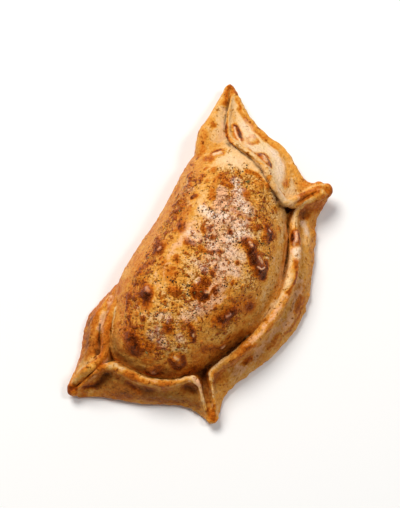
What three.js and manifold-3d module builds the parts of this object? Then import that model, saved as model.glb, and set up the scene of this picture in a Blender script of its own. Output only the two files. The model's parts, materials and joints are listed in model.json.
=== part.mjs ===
// A baked half-moon empanada: a disc of wheat dough folded once over its filling along a nearly straight
// side, with the curved border folded up into flaps that meet in four pinched corners.
//
// The piece is one solid. It rests on a flat underside at z = 0. Its length runs along X, from the corner
// at the low end to the corner under the covering flap, and Y points from the curved border to the straight
// fold. The origin is the middle of the bounding box's underside. All sizes are millimetres.

import * as THREE from "three";
import { mergeVertices } from "three/addons/utils/BufferGeometryUtils.js";
import Module from "manifold-3d";

// Driving dimensions of the filled dome.
const DOME_CENTRE = [-6, 4];
const DOME_HEIGHT = 38;
const WAIST_HEIGHT = 11; // where the dome is widest
const DOME_FULLNESS = 0.8; // below 1 the dome's shoulders are fuller than an ellipse's
const DOME_CROWN = 1.3; // above 1 the dome's top is more rounded than an ellipse's
const FOOT_INSET = 4.5; // how far the resting face lies inside the dome's waist

// Driving dimensions of the folded border.
const RIM_HEIGHT = 14.8; // centre of the rolled edge
const NOSE_RUN = 0.2; // share of a flap's length over which its rolled edge sinks to the nose
const NOSE_RIDGE = 1; // how far above the nose's middle the rolled edges end
const FOOT_ROUNDING = 2.6; // rounded lower edge of the border
const SKIRT_DEPTH = 10; // how far a flap's hidden foot reaches in under the dome
const SKIRT_TOP = 2.2; // how far the flap's inner side has gone in at the bottom of the crease
const CUT_ALLOWANCE = 1.5; // stock below z = 0, which is cut off flat

// Mesh density.
const DOME_AROUND = 56;
const DOME_DOWN = 18;
const WALL_STEPS = 6;
const ROLL_STEPS = 8;
const EDGE_AROUND = 10;
const WEB_STEPS = 12;
const WEB_CROWDING = 1.8; // above 1 the webs' sections crowd towards the nose
const TURN_COST = 3.2; // millimetres of path that one radian of bend counts for, in spacing the sections

// The border's pinched corners: the middle and radius of each nose, and the path of the web of dough that
// joins it to the dome, with the web's half width and top along that path.
const CORNERS = {
  top: { nose: [82.4, 37], z: 8.8, radius: 3, root: [60, 30], width: [5, 4, 3], top: [11, 10, 10.6] },
  right: { nose: [57, -27.4], z: 12, radius: 3.6, root: [36, -10], width: [9, 5, 3.6], top: [10, 10, 13.4] },
  bottom: { nose: [-64.6, -28.7], z: 5.8, radius: 3.2, root: [-40, -12], width: [9, 4.4, 3.2], top: [8, 7.4, 7] },
  left: { nose: [-82.6, 35.2], z: 5.8, radius: 3.1, root: [-56, 20], width: [9, 5, 3.1], top: [8, 7.8, 7.4] },
};

// The dome's waist in plan, anticlockwise from the right end of the straight fold.
const WAIST = [
  [41, 37.2], [25, 37.6], [10, 37.6], [-8, 39.2], [-24, 39.9], [-38, 37.4], [-50, 32.6], [-61, 26.5],
  [-62.3, 15], [-61, 4], [-56, -6], [-47.5, -14.5], [-36, -20.3], [-22, -25.9], [-6, -29.4], [8, -28],
  [22, -24.2], [34, -18.2], [44.5, -11.2], [54.5, -3.6], [61, 8], [60.5, 21], [52, 32],
];

// Each standing flap runs along the border from nose to nose. Its stations pair a point under the rolled
// edge with the point of the foot outside it, in plan. The other lists are spread evenly along the stations.
const FLAPS = [
  {
    from: "right",
    to: "bottom",
    sections: 40,
    roll: [[57, -29.2], [49.8, -24.9], [42.6, -20.2], [35.6, -20.9], [27.6, -25.8], [17.2, -30.4],
      [-1.8, -33.6], [-22, -30.8], [-36, -25.2], [-44, -20.8], [-48.6, -19.8], [-56, -24.9], [-63.8, -30.2]],
    foot: [[58, -31], [50.4, -29.6], [43.4, -29.8], [36, -33], [27.6, -36.9], [18.8, -40], [-1.4, -44.9],
      [-24, -41.2], [-38.8, -34.3], [-47, -30.6], [-52, -29.2], [-58.6, -30.4], [-65.6, -31.8]],
    radius: [1.8, 1.6, 1.4, 1.9, 2.8, 3, 3, 2.9, 2.6, 2.1, 1.8, 1.8, 1.9],
    hollow: [0, 0.6, 2.4, 2.2, 0, 0.4, 1, 1.4, 1.8, 2, 2, 0.8, 0],
    belly: [0, 0, 0.4, 1, 2.6, 1.8, 1.4, 1.2, 1, 0.8, 0.4, 0, 0],
  },
  {
    from: "bottom",
    to: "left",
    sections: 32,
    roll: [[-64.6, -26.4], [-59, -20.8], [-53.8, -15.4], [-54.4, -12.2], [-60.6, -5], [-65, 6], [-65.6, 17],
      [-65.8, 23.6], [-68.6, 26.8], [-76, 30.6], [-82.8, 34.2]],
    foot: [[-67.2, -27.8], [-65.8, -23.2], [-65.2, -19], [-65.6, -13.4], [-69.4, -5.4], [-74.4, 6.8],
      [-78.4, 18.6], [-80.2, 23.6], [-81.8, 27.2], [-83.6, 30.8], [-85.4, 34.8]],
    radius: [1.9, 1.8, 1.8, 2, 2.2, 2.2, 2.2, 2.1, 1.9, 1.7, 1.7],
    hollow: [0, 1, 2.4, 2.6, 2, 1.8, 2, 2.4, 2.4, 1, 0],
    belly: [0, 0, 0.4, 0.6, 0.8, 1, 0.8, 0.6, 0.4, 0, 0],
  },
  {
    from: "left",
    to: null,
    end: 15,
    sections: 26,
    roll: [[-82, 36.2], [-76, 33.8], [-68.6, 30.2], [-63.4, 28.8], [-56, 31.6], [-48, 34.6], [-38, 35.4],
      [-28, 34], [-16, 30]],
    foot: [[-82.6, 38.8], [-77, 39.2], [-69.4, 40.1], [-63.2, 41.6], [-55.6, 44.3], [-47.6, 45.9],
      [-38, 43.9], [-27.6, 41.6], [-16, 38.4]],
    radius: [1.8, 2, 2, 1.9, 1.9, 1.9, 2.2, 2.8, 3],
    hollow: [0, 0.4, 1.2, 2.6, 2.8, 2, 0.6, 0, 0],
    belly: [0, 0.8, 1.6, 2.6, 3, 2.8, 2, 1, 0],
  },
];

// The flap that is folded over the dome's end. Its stations pair its free edge with the outer edge of the
// border, in plan.
const COVER = {
  sections: 40,
  edge: [[81, 36.2], [75.6, 34], [67.2, 31], [58.8, 26.8], [54, 21.6], [52, 14], [49.6, 5], [44.8, -2.2],
    [40.8, -8], [39.4, -13.4], [42.6, -17], [49.4, -21.4], [56.8, -27]],
  rim: [[84.2, 35.2], [81.6, 31.4], [76.8, 25.6], [73, 19.6], [70.2, 13], [68.6, 6.6], [67, -0.6],
    [62.8, -7.6], [59.4, -12], [57.8, -15.4], [57.2, -18.4], [58.6, -21], [60.4, -24.4]],
  height: [9.4, 11.2, 13.8, 16.6, 0, 0, 0, 24.6, 23.4, 21, 18.6, 15.8, 13], // 0 where it follows the dome
  radius: [1.6, 1.7, 1.8, 1.8, 1.8, 1.8, 1.9, 2.1, 2.5, 2.9, 2.6, 1.9, 1.9],
  lift: 0.9, // clear height of the free edge above the dome
  lipHeight: 9.5,
  lipRadius: 2.2,
  trough: 0.9, // how far the face sags between its free edge and its lip
};

// The straight fold's own end, which runs from the dome into the top corner beside the covering flap.
const HORN = {
  sections: 20,
  ridge: [[82, 36.8], [75, 36], [67, 35.4], [60, 35], [53, 33.8], [45, 31], [36, 26]],
  limb: [[84, 38.9], [75, 39.6], [67.4, 39.5], [60, 39.7], [54.6, 40], [46.6, 37.6], [38, 33.5]],
  height: [9.8, 11.6, 13.8, 16, 18.2, 19.6, 19],
  radius: [2, 2.3, 2.8, 3.4, 4.4, 5, 5],
  slope: 0.42, // fall of the ridge's inner side towards the covering flap
  inner: 16, // how far that side reaches in
};

const wasm = await Module();
wasm.setup();

const mix = (a, b, k) => a + (b - a) * k;
const clamp01 = (k) => Math.min(1, Math.max(0, k));
const smooth = (k) => k * k * (3 - 2 * k);

// The value at a share of the way along an evenly spaced list.
function along(values, share) {
  const at = clamp01(share) * (values.length - 1);
  const k = Math.min(Math.floor(at), values.length - 2);
  return mix(values[k], values[k + 1], smooth(at - k));
}

// A closed surface with the mesh of a sphere: place(u, v) gives the point at the share u around and v from
// pole to pole.
function closedSurface(around, down, place) {
  const geometry = new THREE.SphereGeometry(1, around, down);
  const uv = geometry.getAttribute("uv");
  const position = geometry.getAttribute("position");
  for (let i = 0; i < position.count; i++) {
    const row = Math.round((1 - uv.getY(i)) * down);
    const pole = row === 0 || row === down;
    const column = pole ? 0 : Math.round(uv.getX(i) * around) % around;
    position.setXYZ(i, ...place(column / around, row / down));
  }
  geometry.deleteAttribute("normal");
  geometry.deleteAttribute("uv");
  return mergeVertices(geometry, 1e-5);
}

// The solid inside a closed geometry, with its faces turned outwards.
function solidOf(geometry) {
  const faces = [];
  const index = geometry.index.array;
  for (let i = 0; i < index.length; i += 3) {
    const [a, b, c] = [index[i], index[i + 1], index[i + 2]];
    if (a !== b && b !== c && c !== a) faces.push(a, b, c);
  }
  const vertProperties = new Float32Array(geometry.getAttribute("position").array);
  const make = (triVerts) =>
    new wasm.Manifold(new wasm.Mesh({ numProp: 3, vertProperties, triVerts: Uint32Array.from(triVerts) }));
  const solid = make(faces);
  return solid.volume() > 0 ? solid : make(faces.reverse());
}

const planCurve = (points, closed = false) =>
  new THREE.CatmullRomCurve3(
    points.map(([x, y]) => new THREE.Vector3(x, y, 0)),
    closed,
    "centripetal",
  );

// The waist's distance from the dome's centre, by direction.
const waistCurve = planCurve(WAIST, true);
const waistByAngle = waistCurve.getSpacedPoints(720).map((p) => {
  const [x, y] = [p.x - DOME_CENTRE[0], p.y - DOME_CENTRE[1]];
  return { angle: Math.atan2(y, x), radius: Math.hypot(x, y) };
});

function waistRadius(angle) {
  const gap = (w) => Math.abs(Math.atan2(Math.sin(w.angle - angle), Math.cos(w.angle - angle)));
  return waistByAngle.reduce((best, w) => (gap(w) < gap(best) ? w : best)).radius;
}

// The dome's height above a plan point, and 0 outside its waist.
function domeHeightAt(x, y) {
  const [dx, dy] = [x - DOME_CENTRE[0], y - DOME_CENTRE[1]];
  const share = Math.hypot(dx, dy) / waistRadius(Math.atan2(dy, dx));
  if (share >= 1) return 0;
  const sine = share ** (1 / DOME_FULLNESS);
  return WAIST_HEIGHT + (DOME_HEIGHT - WAIST_HEIGHT) * Math.sqrt(1 - sine * sine) ** DOME_CROWN;
}

// The dome: crown to waist, waist to foot, and the flat resting face.
function dome() {
  const [cx, cy] = DOME_CENTRE;
  const waistAt = 0.7;
  const footAt = 0.9;
  return closedSurface(DOME_AROUND, DOME_DOWN, (u, v) => {
    const w = waistCurve.getPointAt(u);
    const inset = FOOT_INSET / Math.hypot(w.x - cx, w.y - cy);
    let out;
    let z;
    if (v <= waistAt) {
      const angle = (v / waistAt) * (Math.PI / 2);
      out = Math.sin(angle) ** DOME_FULLNESS;
      z = WAIST_HEIGHT + (DOME_HEIGHT - WAIST_HEIGHT) * Math.max(0, Math.cos(angle)) ** DOME_CROWN;
    } else if (v <= footAt) {
      const angle = ((v - waistAt) / (footAt - waistAt)) * (Math.PI / 2);
      out = 1 - inset * (1 - Math.cos(angle));
      z = WAIST_HEIGHT - (WAIST_HEIGHT + CUT_ALLOWANCE) * Math.sin(angle);
    } else {
      out = ((1 - inset) * (1 - v)) / (1 - footAt);
      z = -CUT_ALLOWANCE;
    }
    return [mix(cx, w.x, out), mix(cy, w.y, out), z];
  });
}

// Shares along matched curves, closer together where one of them bends.
function spacing(curves, count) {
  const fine = 600;
  const costs = [0];
  const points = curves.map((c) => Array.from({ length: fine + 1 }, (_, i) => c.getPoint(i / fine)));
  for (let i = 1; i <= fine; i++) {
    let cost = 0;
    for (const p of points) {
      const step = p[i].clone().sub(p[i - 1]);
      const next = p[Math.min(i + 1, fine)].clone().sub(p[Math.min(i, fine - 1)]);
      cost = Math.max(cost, step.length() + TURN_COST * step.angleTo(next));
    }
    costs.push(costs[i - 1] + cost);
  }
  const shares = [];
  let at = 0;
  for (let k = 0; k <= count; k++) {
    const wanted = (costs[fine] * k) / count;
    while (at < fine - 1 && costs[at + 1] < wanted) at++;
    shares.push(clamp01((at + (wanted - costs[at]) / (costs[at + 1] - costs[at])) / fine));
  }
  return shares;
}

// The distance run along a line of points, at each point.
function runningLength(points) {
  const run = [0];
  for (let k = 1; k < points.length; k++) run.push(run[k - 1] + points[k].distanceTo(points[k - 1]));
  return run;
}

// A strip of dough lofted along two matched plan curves. section(share, reach) gives its closed outline as
// [distance out from the inner curve, height] pairs about a middle, and both ends close on rounded noses.
function strip(inner, outer, count, section) {
  const innerCurve = planCurve(inner);
  const outerCurve = planCurve(outer);
  const rings = spacing([innerCurve, outerCurve], count).map((share) => {
    const from = innerCurve.getPoint(share);
    const out = outerCurve.getPoint(share).sub(from);
    const reach = out.length();
    return { from, out: out.normalize(), ...section(share, reach) };
  });
  const travelled = runningLength(rings.map((ring) => ring.from));
  const around = rings[0].outline.length;
  return closedSurface(around, count, (u, v) => {
    const k = Math.round(v * count);
    const { from, out, outline, middle, round } = rings[k];
    const toEnd = clamp01(Math.min(travelled[k], travelled[count] - travelled[k]) / round);
    const swell = Math.sqrt(1 - (1 - toEnd) ** 2);
    const [away, z] = outline[Math.round(u * around) % around];
    const x = mix(middle[0], away, swell);
    return [from.x + out.x * x, from.y + out.y * x, mix(middle[1], z, swell)];
  });
}

// Points of an arc about a centre, from one angle to another in degrees, measured from outwards to up.
function arc([away, z], radius, from, to, steps) {
  return Array.from({ length: steps + 1 }, (_, i) => {
    const angle = THREE.MathUtils.degToRad(mix(from, to, i / steps));
    return [away + radius * Math.cos(angle), z + radius * Math.sin(angle)];
  });
}

// Points on a smooth line through a few [distance, height] pairs, without its two ends.
function smoothLine(points, steps) {
  const line = new THREE.SplineCurve(points.map(([away, z]) => new THREE.Vector2(away, z)));
  return line.getPoints(steps).slice(1, -1).map((p) => [p.x, p.y]);
}

// How far a share lies from the nearer nose, as a blend from 0 at the nose to 1 on the open border.
const fromNose = (share) => smooth(clamp01(Math.min(share, 1 - share) / NOSE_RUN));

// A standing flap: up its outer wall, round the rolled edge and down inside the dome.
function standingFlap({ from, to, end, sections, roll, foot, radius, hollow, belly }) {
  return strip(roll, foot, sections, (share, reach) => {
    const nose = CORNERS[share < 0.5 ? from : to];
    const open = fromNose(share);
    const z = mix(nose ? nose.z + NOSE_RIDGE : end, RIM_HEIGHT, open);
    const lift = nose ? mix(nose.z - nose.radius, -CUT_ALLOWANCE, clamp01(open * 2)) : -CUT_ALLOWANCE;
    const r = along(radius, share);
    const far = Math.max(reach, r + 0.4);
    const neck = [r * 0.8, z - r * 0.6];
    const toe = [far, Math.max(lift, 0) + FOOT_ROUNDING * mix(0.5, 1, open)];
    const wall = [
      toe,
      [mix(toe[0], neck[0], 0.38), mix(toe[1], neck[1], 0.38) + along(belly, share)],
      [mix(toe[0], neck[0], 0.8), mix(toe[1], neck[1], 0.8) - along(hollow, share)],
      neck,
    ];
    const outline = [
      [-r - SKIRT_DEPTH * open, lift],
      [mix(0, far - FOOT_ROUNDING - 1, open), lift],
      [far - FOOT_ROUNDING * 0.35 * open, mix(lift, toe[1], 0.35)],
      toe,
      ...smoothLine(wall, WALL_STEPS),
      ...arc([0, z], r, -37, 205, ROLL_STEPS),
      [-r - SKIRT_TOP * open, Math.max(z - 3 * r, lift + 0.5)],
    ];
    return { outline, middle: [0, z - r * 0.3], round: r + 0.4 };
  });
}

// The height of the covering flap's free edge.
function edgeHeight(share, { x, y }) {
  const onDome = domeHeightAt(x, y) + COVER.lift + along(COVER.radius, share);
  return Math.max(along(COVER.height, share), onDome);
}

// The covering flap's free edge, as a roll that tapers to both noses.
function coverEdge() {
  const path = planCurve(COVER.edge);
  const shares = spacing([path], COVER.sections);
  const centres = shares.map((share) => {
    const p = path.getPoint(share);
    return p.setZ(edgeHeight(share, p));
  });
  const travelled = runningLength(centres);
  return closedSurface(EDGE_AROUND, COVER.sections, (u, v) => {
    const k = Math.round(v * COVER.sections);
    const r = along(COVER.radius, shares[k]);
    const toEnd = clamp01(Math.min(travelled[k], travelled[COVER.sections] - travelled[k]) / r);
    const swell = r * Math.sqrt(1 - (1 - toEnd) ** 2);
    const across = path.getTangent(shares[k]).applyAxisAngle(new THREE.Vector3(0, 0, 1), Math.PI / 2);
    const angle = 2 * Math.PI * u;
    const p = centres[k].clone().addScaledVector(across, swell * Math.cos(angle));
    return [p.x, p.y, p.z + swell * Math.sin(angle)];
  });
}

// The covering flap's body: up the border's outer wall, round its lip and across the sagging face to the
// free edge, then down inside the dome.
function coverFlap() {
  const edgeCurve = planCurve(COVER.edge);
  return strip(COVER.edge, COVER.rim, COVER.sections, (share, reach) => {
    const nose = CORNERS[share < 0.5 ? "top" : "right"];
    const r = along(COVER.radius, share);
    const edgeZ = edgeHeight(share, edgeCurve.getPoint(share));
    const far = Math.max(reach, r + 0.6);
    const open = smooth(clamp01((far - 2 * r) / 8)); // 0 at a nose, 1 where the face is wide
    const lift = mix(nose.z - nose.radius, -CUT_ALLOWANCE, clamp01(open * 3));
    const lipRadius = mix(1.4, COVER.lipRadius, open);
    const lip = [far - lipRadius, mix(nose.z, COVER.lipHeight, open)];
    const faceFrom = [lip[0] - lipRadius * 0.4, lip[1] + lipRadius * 0.95];
    const faceTo = [0, edgeZ + r * 0.7];
    const face = [0.16, 0.36, 0.58, 0.8, 1].map((k) => [
      mix(faceFrom[0], faceTo[0], k),
      mix(faceFrom[1], faceTo[1], k) - COVER.trough * open * Math.sin(Math.PI * k),
    ]);
    const outline = [
      [0, lift],
      [mix(0, far - FOOT_ROUNDING - 1, open), lift],
      [far - FOOT_ROUNDING * 0.35, mix(lift, lip[1], 0.25)],
      [far - 0.3, mix(lift, lip[1], 0.5)],
      ...arc(lip, lipRadius, -20, 100, 3),
      ...face,
      [r * 0.2, edgeZ - r * 0.7],
      [r * 0.4, mix(edgeZ - r, lift, 0.4)],
    ];
    return { outline, middle: [mix(far * 0.5, 0, open), mix(lip[1], edgeZ, open)], round: r };
  });
}

// The straight fold's end: a ridge with a rounded limb outside it and a gentle inner slope.
function horn() {
  return strip(HORN.ridge, HORN.limb, HORN.sections, (share, reach) => {
    const open = smooth(clamp01(share / 0.3));
    const z = along(HORN.height, share);
    const r = along(HORN.radius, share);
    const lift = mix(CORNERS.top.z - CORNERS.top.radius, -CUT_ALLOWANCE, clamp01(open * 2));
    const inner = HORN.inner * mix(0.12, 1, open);
    const outline = [
      [-inner, lift],
      [reach - FOOT_INSET * open, lift],
      [reach - 1.2 * open, mix(lift, z - r, 0.4)],
      ...arc([reach - r, z - r], r, -15, 90, 5),
      [-inner * 0.25, z - HORN.slope * inner * 0.14],
      [-inner * 0.6, z - HORN.slope * inner * 0.5],
      [-inner, z - HORN.slope * inner],
    ];
    return { outline, middle: [mix(0, reach - r, 0.5), z - r], round: 2.4 };
  });
}

// The web of dough inside a pinched corner, from the dome out to the corner's rounded nose.
function web({ nose, z, radius, root, width, top }) {
  const [from, to] = [new THREE.Vector3(...root, 0), new THREE.Vector3(...nose, 0)];
  const ahead = to.clone().sub(from).normalize();
  const length = from.distanceTo(to) + radius;
  return closedSurface(WEB_STEPS, WEB_STEPS, (u, v) => {
    const share = 1 - (1 - v) ** WEB_CROWDING;
    const toEnd = clamp01(Math.min(share * length, (1 - share) * length) / radius);
    const swell = Math.sqrt(1 - (1 - toEnd) ** 2);
    const half = along(width, share) * swell;
    const high = along(top, share);
    const low = mix(-CUT_ALLOWANCE, z - radius, smooth(clamp01((share - 0.55) / 0.45)));
    const angle = 2 * Math.PI * u;
    const p = from.clone().addScaledVector(ahead, share * length);
    const side = half * Math.cos(angle);
    return [p.x - ahead.y * side, p.y + ahead.x * side, mix(low, high, 0.5 + 0.5 * swell * Math.sin(angle))];
  });
}

// Everything above the table, which cuts the resting face flat.
function aboveTable(solid) {
  const room = new THREE.BoxGeometry(240, 160, 80).translate(0, 0, 40);
  room.deleteAttribute("normal");
  room.deleteAttribute("uv");
  return solid.intersect(solidOf(mergeVertices(room)));
}

// The whole piece, with the origin under the middle of its bounding box.
function empanada() {
  let dough = solidOf(dome());
  for (const corner of Object.values(CORNERS)) dough = dough.add(solidOf(web(corner)));
  for (const flap of FLAPS) dough = dough.add(solidOf(standingFlap(flap)));
  for (const piece of [horn(), coverFlap(), coverEdge()]) dough = dough.add(solidOf(piece));
  const { vertProperties, triVerts } = aboveTable(dough).getMesh();
  const geometry = new THREE.BufferGeometry()
    .setAttribute("position", new THREE.BufferAttribute(vertProperties, 3))
    .setIndex(new THREE.BufferAttribute(triVerts, 1));
  geometry.computeBoundingBox();
  const middle = geometry.boundingBox.getCenter(new THREE.Vector3());
  return geometry.translate(-middle.x, -middle.y, 0);
}

const crust = new THREE.Mesh(
  empanada(),
  new THREE.MeshStandardMaterial({ color: 0xc98a4a, roughness: 0.55, metalness: 0 }),
);
crust.name = "empanada";

const part = new THREE.Group();
part.add(crust);

export default part;
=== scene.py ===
import json
import math
from functools import partial
from types import SimpleNamespace

import bpy
import numpy as np
from mathutils import Matrix, Vector
from mathutils.bvhtree import BVHTree
from mathutils.kdtree import KDTree

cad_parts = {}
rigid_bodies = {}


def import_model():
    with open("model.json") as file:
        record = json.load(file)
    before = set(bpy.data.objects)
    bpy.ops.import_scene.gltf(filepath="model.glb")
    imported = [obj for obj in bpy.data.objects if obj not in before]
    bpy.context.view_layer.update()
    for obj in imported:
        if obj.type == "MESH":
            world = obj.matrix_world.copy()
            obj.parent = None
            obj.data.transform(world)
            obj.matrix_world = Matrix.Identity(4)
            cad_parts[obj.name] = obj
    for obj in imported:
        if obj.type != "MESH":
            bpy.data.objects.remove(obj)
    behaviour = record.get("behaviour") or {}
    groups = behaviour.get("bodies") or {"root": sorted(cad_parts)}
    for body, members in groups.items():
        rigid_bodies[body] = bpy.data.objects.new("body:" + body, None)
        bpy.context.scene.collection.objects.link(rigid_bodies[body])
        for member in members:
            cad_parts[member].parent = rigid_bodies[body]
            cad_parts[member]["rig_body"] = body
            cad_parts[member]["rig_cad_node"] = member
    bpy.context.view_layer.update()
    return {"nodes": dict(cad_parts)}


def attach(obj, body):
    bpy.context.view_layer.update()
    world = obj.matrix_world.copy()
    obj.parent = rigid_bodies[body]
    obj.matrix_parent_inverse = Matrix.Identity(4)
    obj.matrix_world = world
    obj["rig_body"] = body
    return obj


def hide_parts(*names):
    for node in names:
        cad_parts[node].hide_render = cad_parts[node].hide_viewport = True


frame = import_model()

bl_info = {
    "name": "Baked Empanada",
    "version": (1, 0, 0),
    "blender": (4, 5, 0),
    "location": "View3D > Sidebar > Empanada",
    "description": "Crust, sprinkles and stage for one baked empanada",
    "category": "Object",
}

MM_PER_M = 1000
MM = 1 / MM_PER_M


# --------------------------------------------------------------------------
# The photograph

# its camera looks at this point, from this direction, with this side to the right
AIM = Vector((2.1, 11.4, 10.0)) * MM
BACK, RIGHT = Vector((-0.21498, -0.11096, 0.97030)), Vector((0.45865, -0.88862, 0.0))
UP = BACK.cross(RIGHT)
CAMERA_DISTANCE = 0.9
CENTRE_X, CENTRE_Y, FOCAL_LENGTH = 200, 254, 1894.7     # in pixels
PIXEL = 0.475               # millimetres of dough in one pixel
# a pixel past the outline is tried again around itself, in rings one pixel apart
OUTLINE_REACH, OUTLINE_TURNS = 12, 12

PACKED = frame["nodes"]["empanada"]
DOUGH = BVHTree.FromPolygons(
    [corner.co for corner in PACKED.data.vertices],
    [tuple(face.vertices) for face in PACKED.data.polygons],
)

# --------------------------------------------------------------------------
# Marks of the oven and of the hand that folded the dough, with painted shade and painted
# highlights among them,
# traced in the photograph: a name, the numbers that the comment lists, with radius and height in
# millimetres, and a line of pixels, counted from the top left corner of the photograph

# Browning of wide zones, which blend into one another: radius, browning. Low on the walls and the
# belly, the darker browning is partly painted shade
TOAST = (
    ("fold side of the dome", 9.5, 0.4, (197, 168), (175, 200), (150, 245)),
    ("fold side of the dome, low", 7.6, 0.42, (130, 285), (120, 318)),
    ("middle of the dome", 14.2, 0.24, (228, 200), (215, 235), (200, 275), (180, 320)),
    ("right dome, upper", 2.8, 0.24, (258, 193), (260, 215), (259, 238)),
    ("right dome, middle", 2.4, 0.3, (245, 206), (246, 232)),
    ("above the slanting one", 2.6, 0.3, (243, 291), (248, 294)),
    ("right of the slanting one", 2.4, 0.56, (240, 322), (247, 320)),
    ("fold side, patch 1", 2.4, 0.46, (176, 212), (189, 228), (190, 240)),
    ("fold side, patch 2", 2.8, 0.54, (163, 265), (172, 276), (176, 290)),
    ("low centre, patch 1", 2.4, 0.66, (203, 306)),
    ("low centre, patch 2", 2.4, 0.66, (176, 307)),
    ("low centre, patch 3", 2.4, 0.64, (147, 304)),
    ("low belly, patch", 2.4, 0.64, (203, 349), (216, 350)),
    ("low belly, patch 2", 1.9, 0.66, (174, 364)),
    ("under the left blister", 2.4, 0.66, (135, 350), (121, 352)),
    ("lower wall", 2.4, 0.72, (112, 391), (130, 392), (148, 391)),
    ("crown towards the covering flap", 5.7, 0.14, (214, 163), (236, 160), (252, 166)),
    ("dome beside the near rolls", 4.8, 0.24, (276, 200), (284, 228), (283, 255), (278, 280)),
    ("belly towards the near roll", 6.2, 0.28, (266, 286), (246, 322)),
    ("belly, low", 5.7, 0.66, (238, 340), (222, 358), (196, 374)),
    ("dome above the short flap", 4.3, 0.36, (116, 345), (133, 364), (165, 374)),
    ("covering flap", 6.6, 0.08, (233, 108), (236, 132), (252, 146), (272, 160), (279, 178)),
    ("outer lip of the covering flap", 1.9, 0.36, (238, 98), (244, 110), (250, 120), (256, 128),
     (265, 136), (277, 146), (287, 154), (293, 166), (300, 180)),
    ("horn", 4.3, 0.32, (226, 95), (218, 115), (209, 138), (203, 155)),
    ("near corner, upper limb", 2.6, 0.56, (305, 195), (312, 192), (318, 189), (328, 187)),
    ("near corner, lower limb", 3.8, 0.5, (326, 196), (314, 205), (306, 213), (302, 226)),
    ("near roll", 3.8, 0.4, (296, 228), (296, 250), (294, 275), (283, 300), (266, 325), (245, 348),
     (222, 365)),
    ("near wall, upper", 6.2, 0.38, (310, 232), (309, 262)),
    ("near wall", 6.2, 0.34, (302, 292), (285, 325), (262, 352), (236, 374)),
    ("short roll", 2.8, 0.38, (106, 362), (120, 367), (140, 378), (165, 383), (195, 379)),
    ("short wall", 4.3, 0.42, (96, 386), (120, 393), (150, 400), (180, 402), (198, 408)),
    ("far roll and wall", 6.2, 0.5, (112, 298), (97, 318), (92, 340), (86, 362)),
    ("left tip", 5.2, 0.46, (104, 368), (90, 376), (76, 388)),
    ("lower tip", 4.8, 0.35, (203, 385), (208, 400), (213, 415)),
    ("low middle of the dome", 7.6, 0.42, (214, 292), (208, 312), (196, 330)),
)
# Pinkish paleness of wide zones: radius, amount
PALE = (
    ("middle of the dome", 13.3, 0.52, (238, 203), (222, 225), (215, 245), (228, 262), (215, 285)),
    ("lower middle of the dome", 9.5, 0.34, (205, 305), (185, 325), (168, 338)),
    ("fold side, pinkish", 6.2, 0.4, (190, 180), (180, 235), (165, 270), (142, 312)),
    ("near roll", 3.8, 0.48, (296, 250), (293, 275), (282, 302), (265, 326), (244, 350)),
    ("near corner", 3.3, 0.5, (290, 202), (308, 196), (322, 190)),
    ("short roll", 2.8, 0.5, (106, 363), (120, 368), (140, 379), (165, 384), (195, 380)),
    ("tips", 3.3, 0.45, (102, 368), (90, 376), (76, 388)),
    ("lower tip", 3.3, 0.45, (203, 385), (212, 395), (213, 412)),
    ("right of the dome", 4.3, 0.3, (274, 240), (272, 262), (262, 290), (250, 312)),
    ("far roll", 3.8, 0.6, (112, 298), (104, 318), (104, 356)),
    ("near wall", 4.8, 0.56, (302, 285), (285, 325), (262, 350), (236, 372)),
)
# Painted shade of wide zones, on the walls that face away from the light and in the hollows:
# radius, amount
PAINTED_SHADE = (
    ("near wall", 5.7, 0.5, (302, 285), (292, 310), (280, 330), (262, 352), (236, 374)),
    ("short wall", 4.8, 1, (108, 384), (120, 388), (150, 395), (180, 399), (196, 404)),
    ("far wall", 3.8, 0.8, (90, 320), (88, 345), (84, 362)),
    ("belly towards the near roll", 3.8, 0.3, (272, 290), (256, 315)),
    ("belly, low", 4.8, 0.75, (238, 340), (218, 362), (200, 374)),
    ("dome above the short flap", 4.3, 1, (114, 340), (119, 355), (135, 366), (170, 374)),
    ("horn slope", 1.9, 0.2, (222, 108), (221, 125), (220, 138)),
)
# Seasoning of wide zones: radius, amount
SEASON = (
    ("middle", 16.1, 1, (240, 180), (235, 210), (218, 240), (200, 280), (175, 320), (165, 340)),
    ("fold side", 8.1, 0.75, (190, 182), (178, 205), (160, 240), (145, 270), (132, 300),
     (128, 325)),
    ("right dome, upper", 4.3, 0.2, (257, 198), (259, 234)),
    ("near side", 7.6, 0.6, (268, 205), (266, 245), (250, 288), (222, 332)),
)
# Tips where the folds are melted into one nose: radius
SOFTENED = (
    ("near corner", 3.8, (312, 188), (322, 186), (327, 190)),
    ("left tip", 2.8, (69, 390), (75, 386)),
    ("top tip", 3.3, (231, 88), (230, 95)),
)
# Smooth dough without sprinkles or small bubbles: radius
BARE = (
    ("horn", 4.3, (227, 93), (219, 115), (211, 138)),
    ("covering flap", 5.2, (231, 100), (233, 125), (240, 140), (254, 148), (268, 157), (277, 170),
     (284, 186)),
    ("crown by the flap", 4.3, (205, 152), (222, 157), (238, 160), (250, 167)),
    ("horn", 5.7, (226, 95), (216, 120), (206, 145)),
    ("near corner", 4.3, (292, 200), (330, 188)),
    ("left tip", 3.3, (72, 388), (84, 377)),
)
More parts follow.
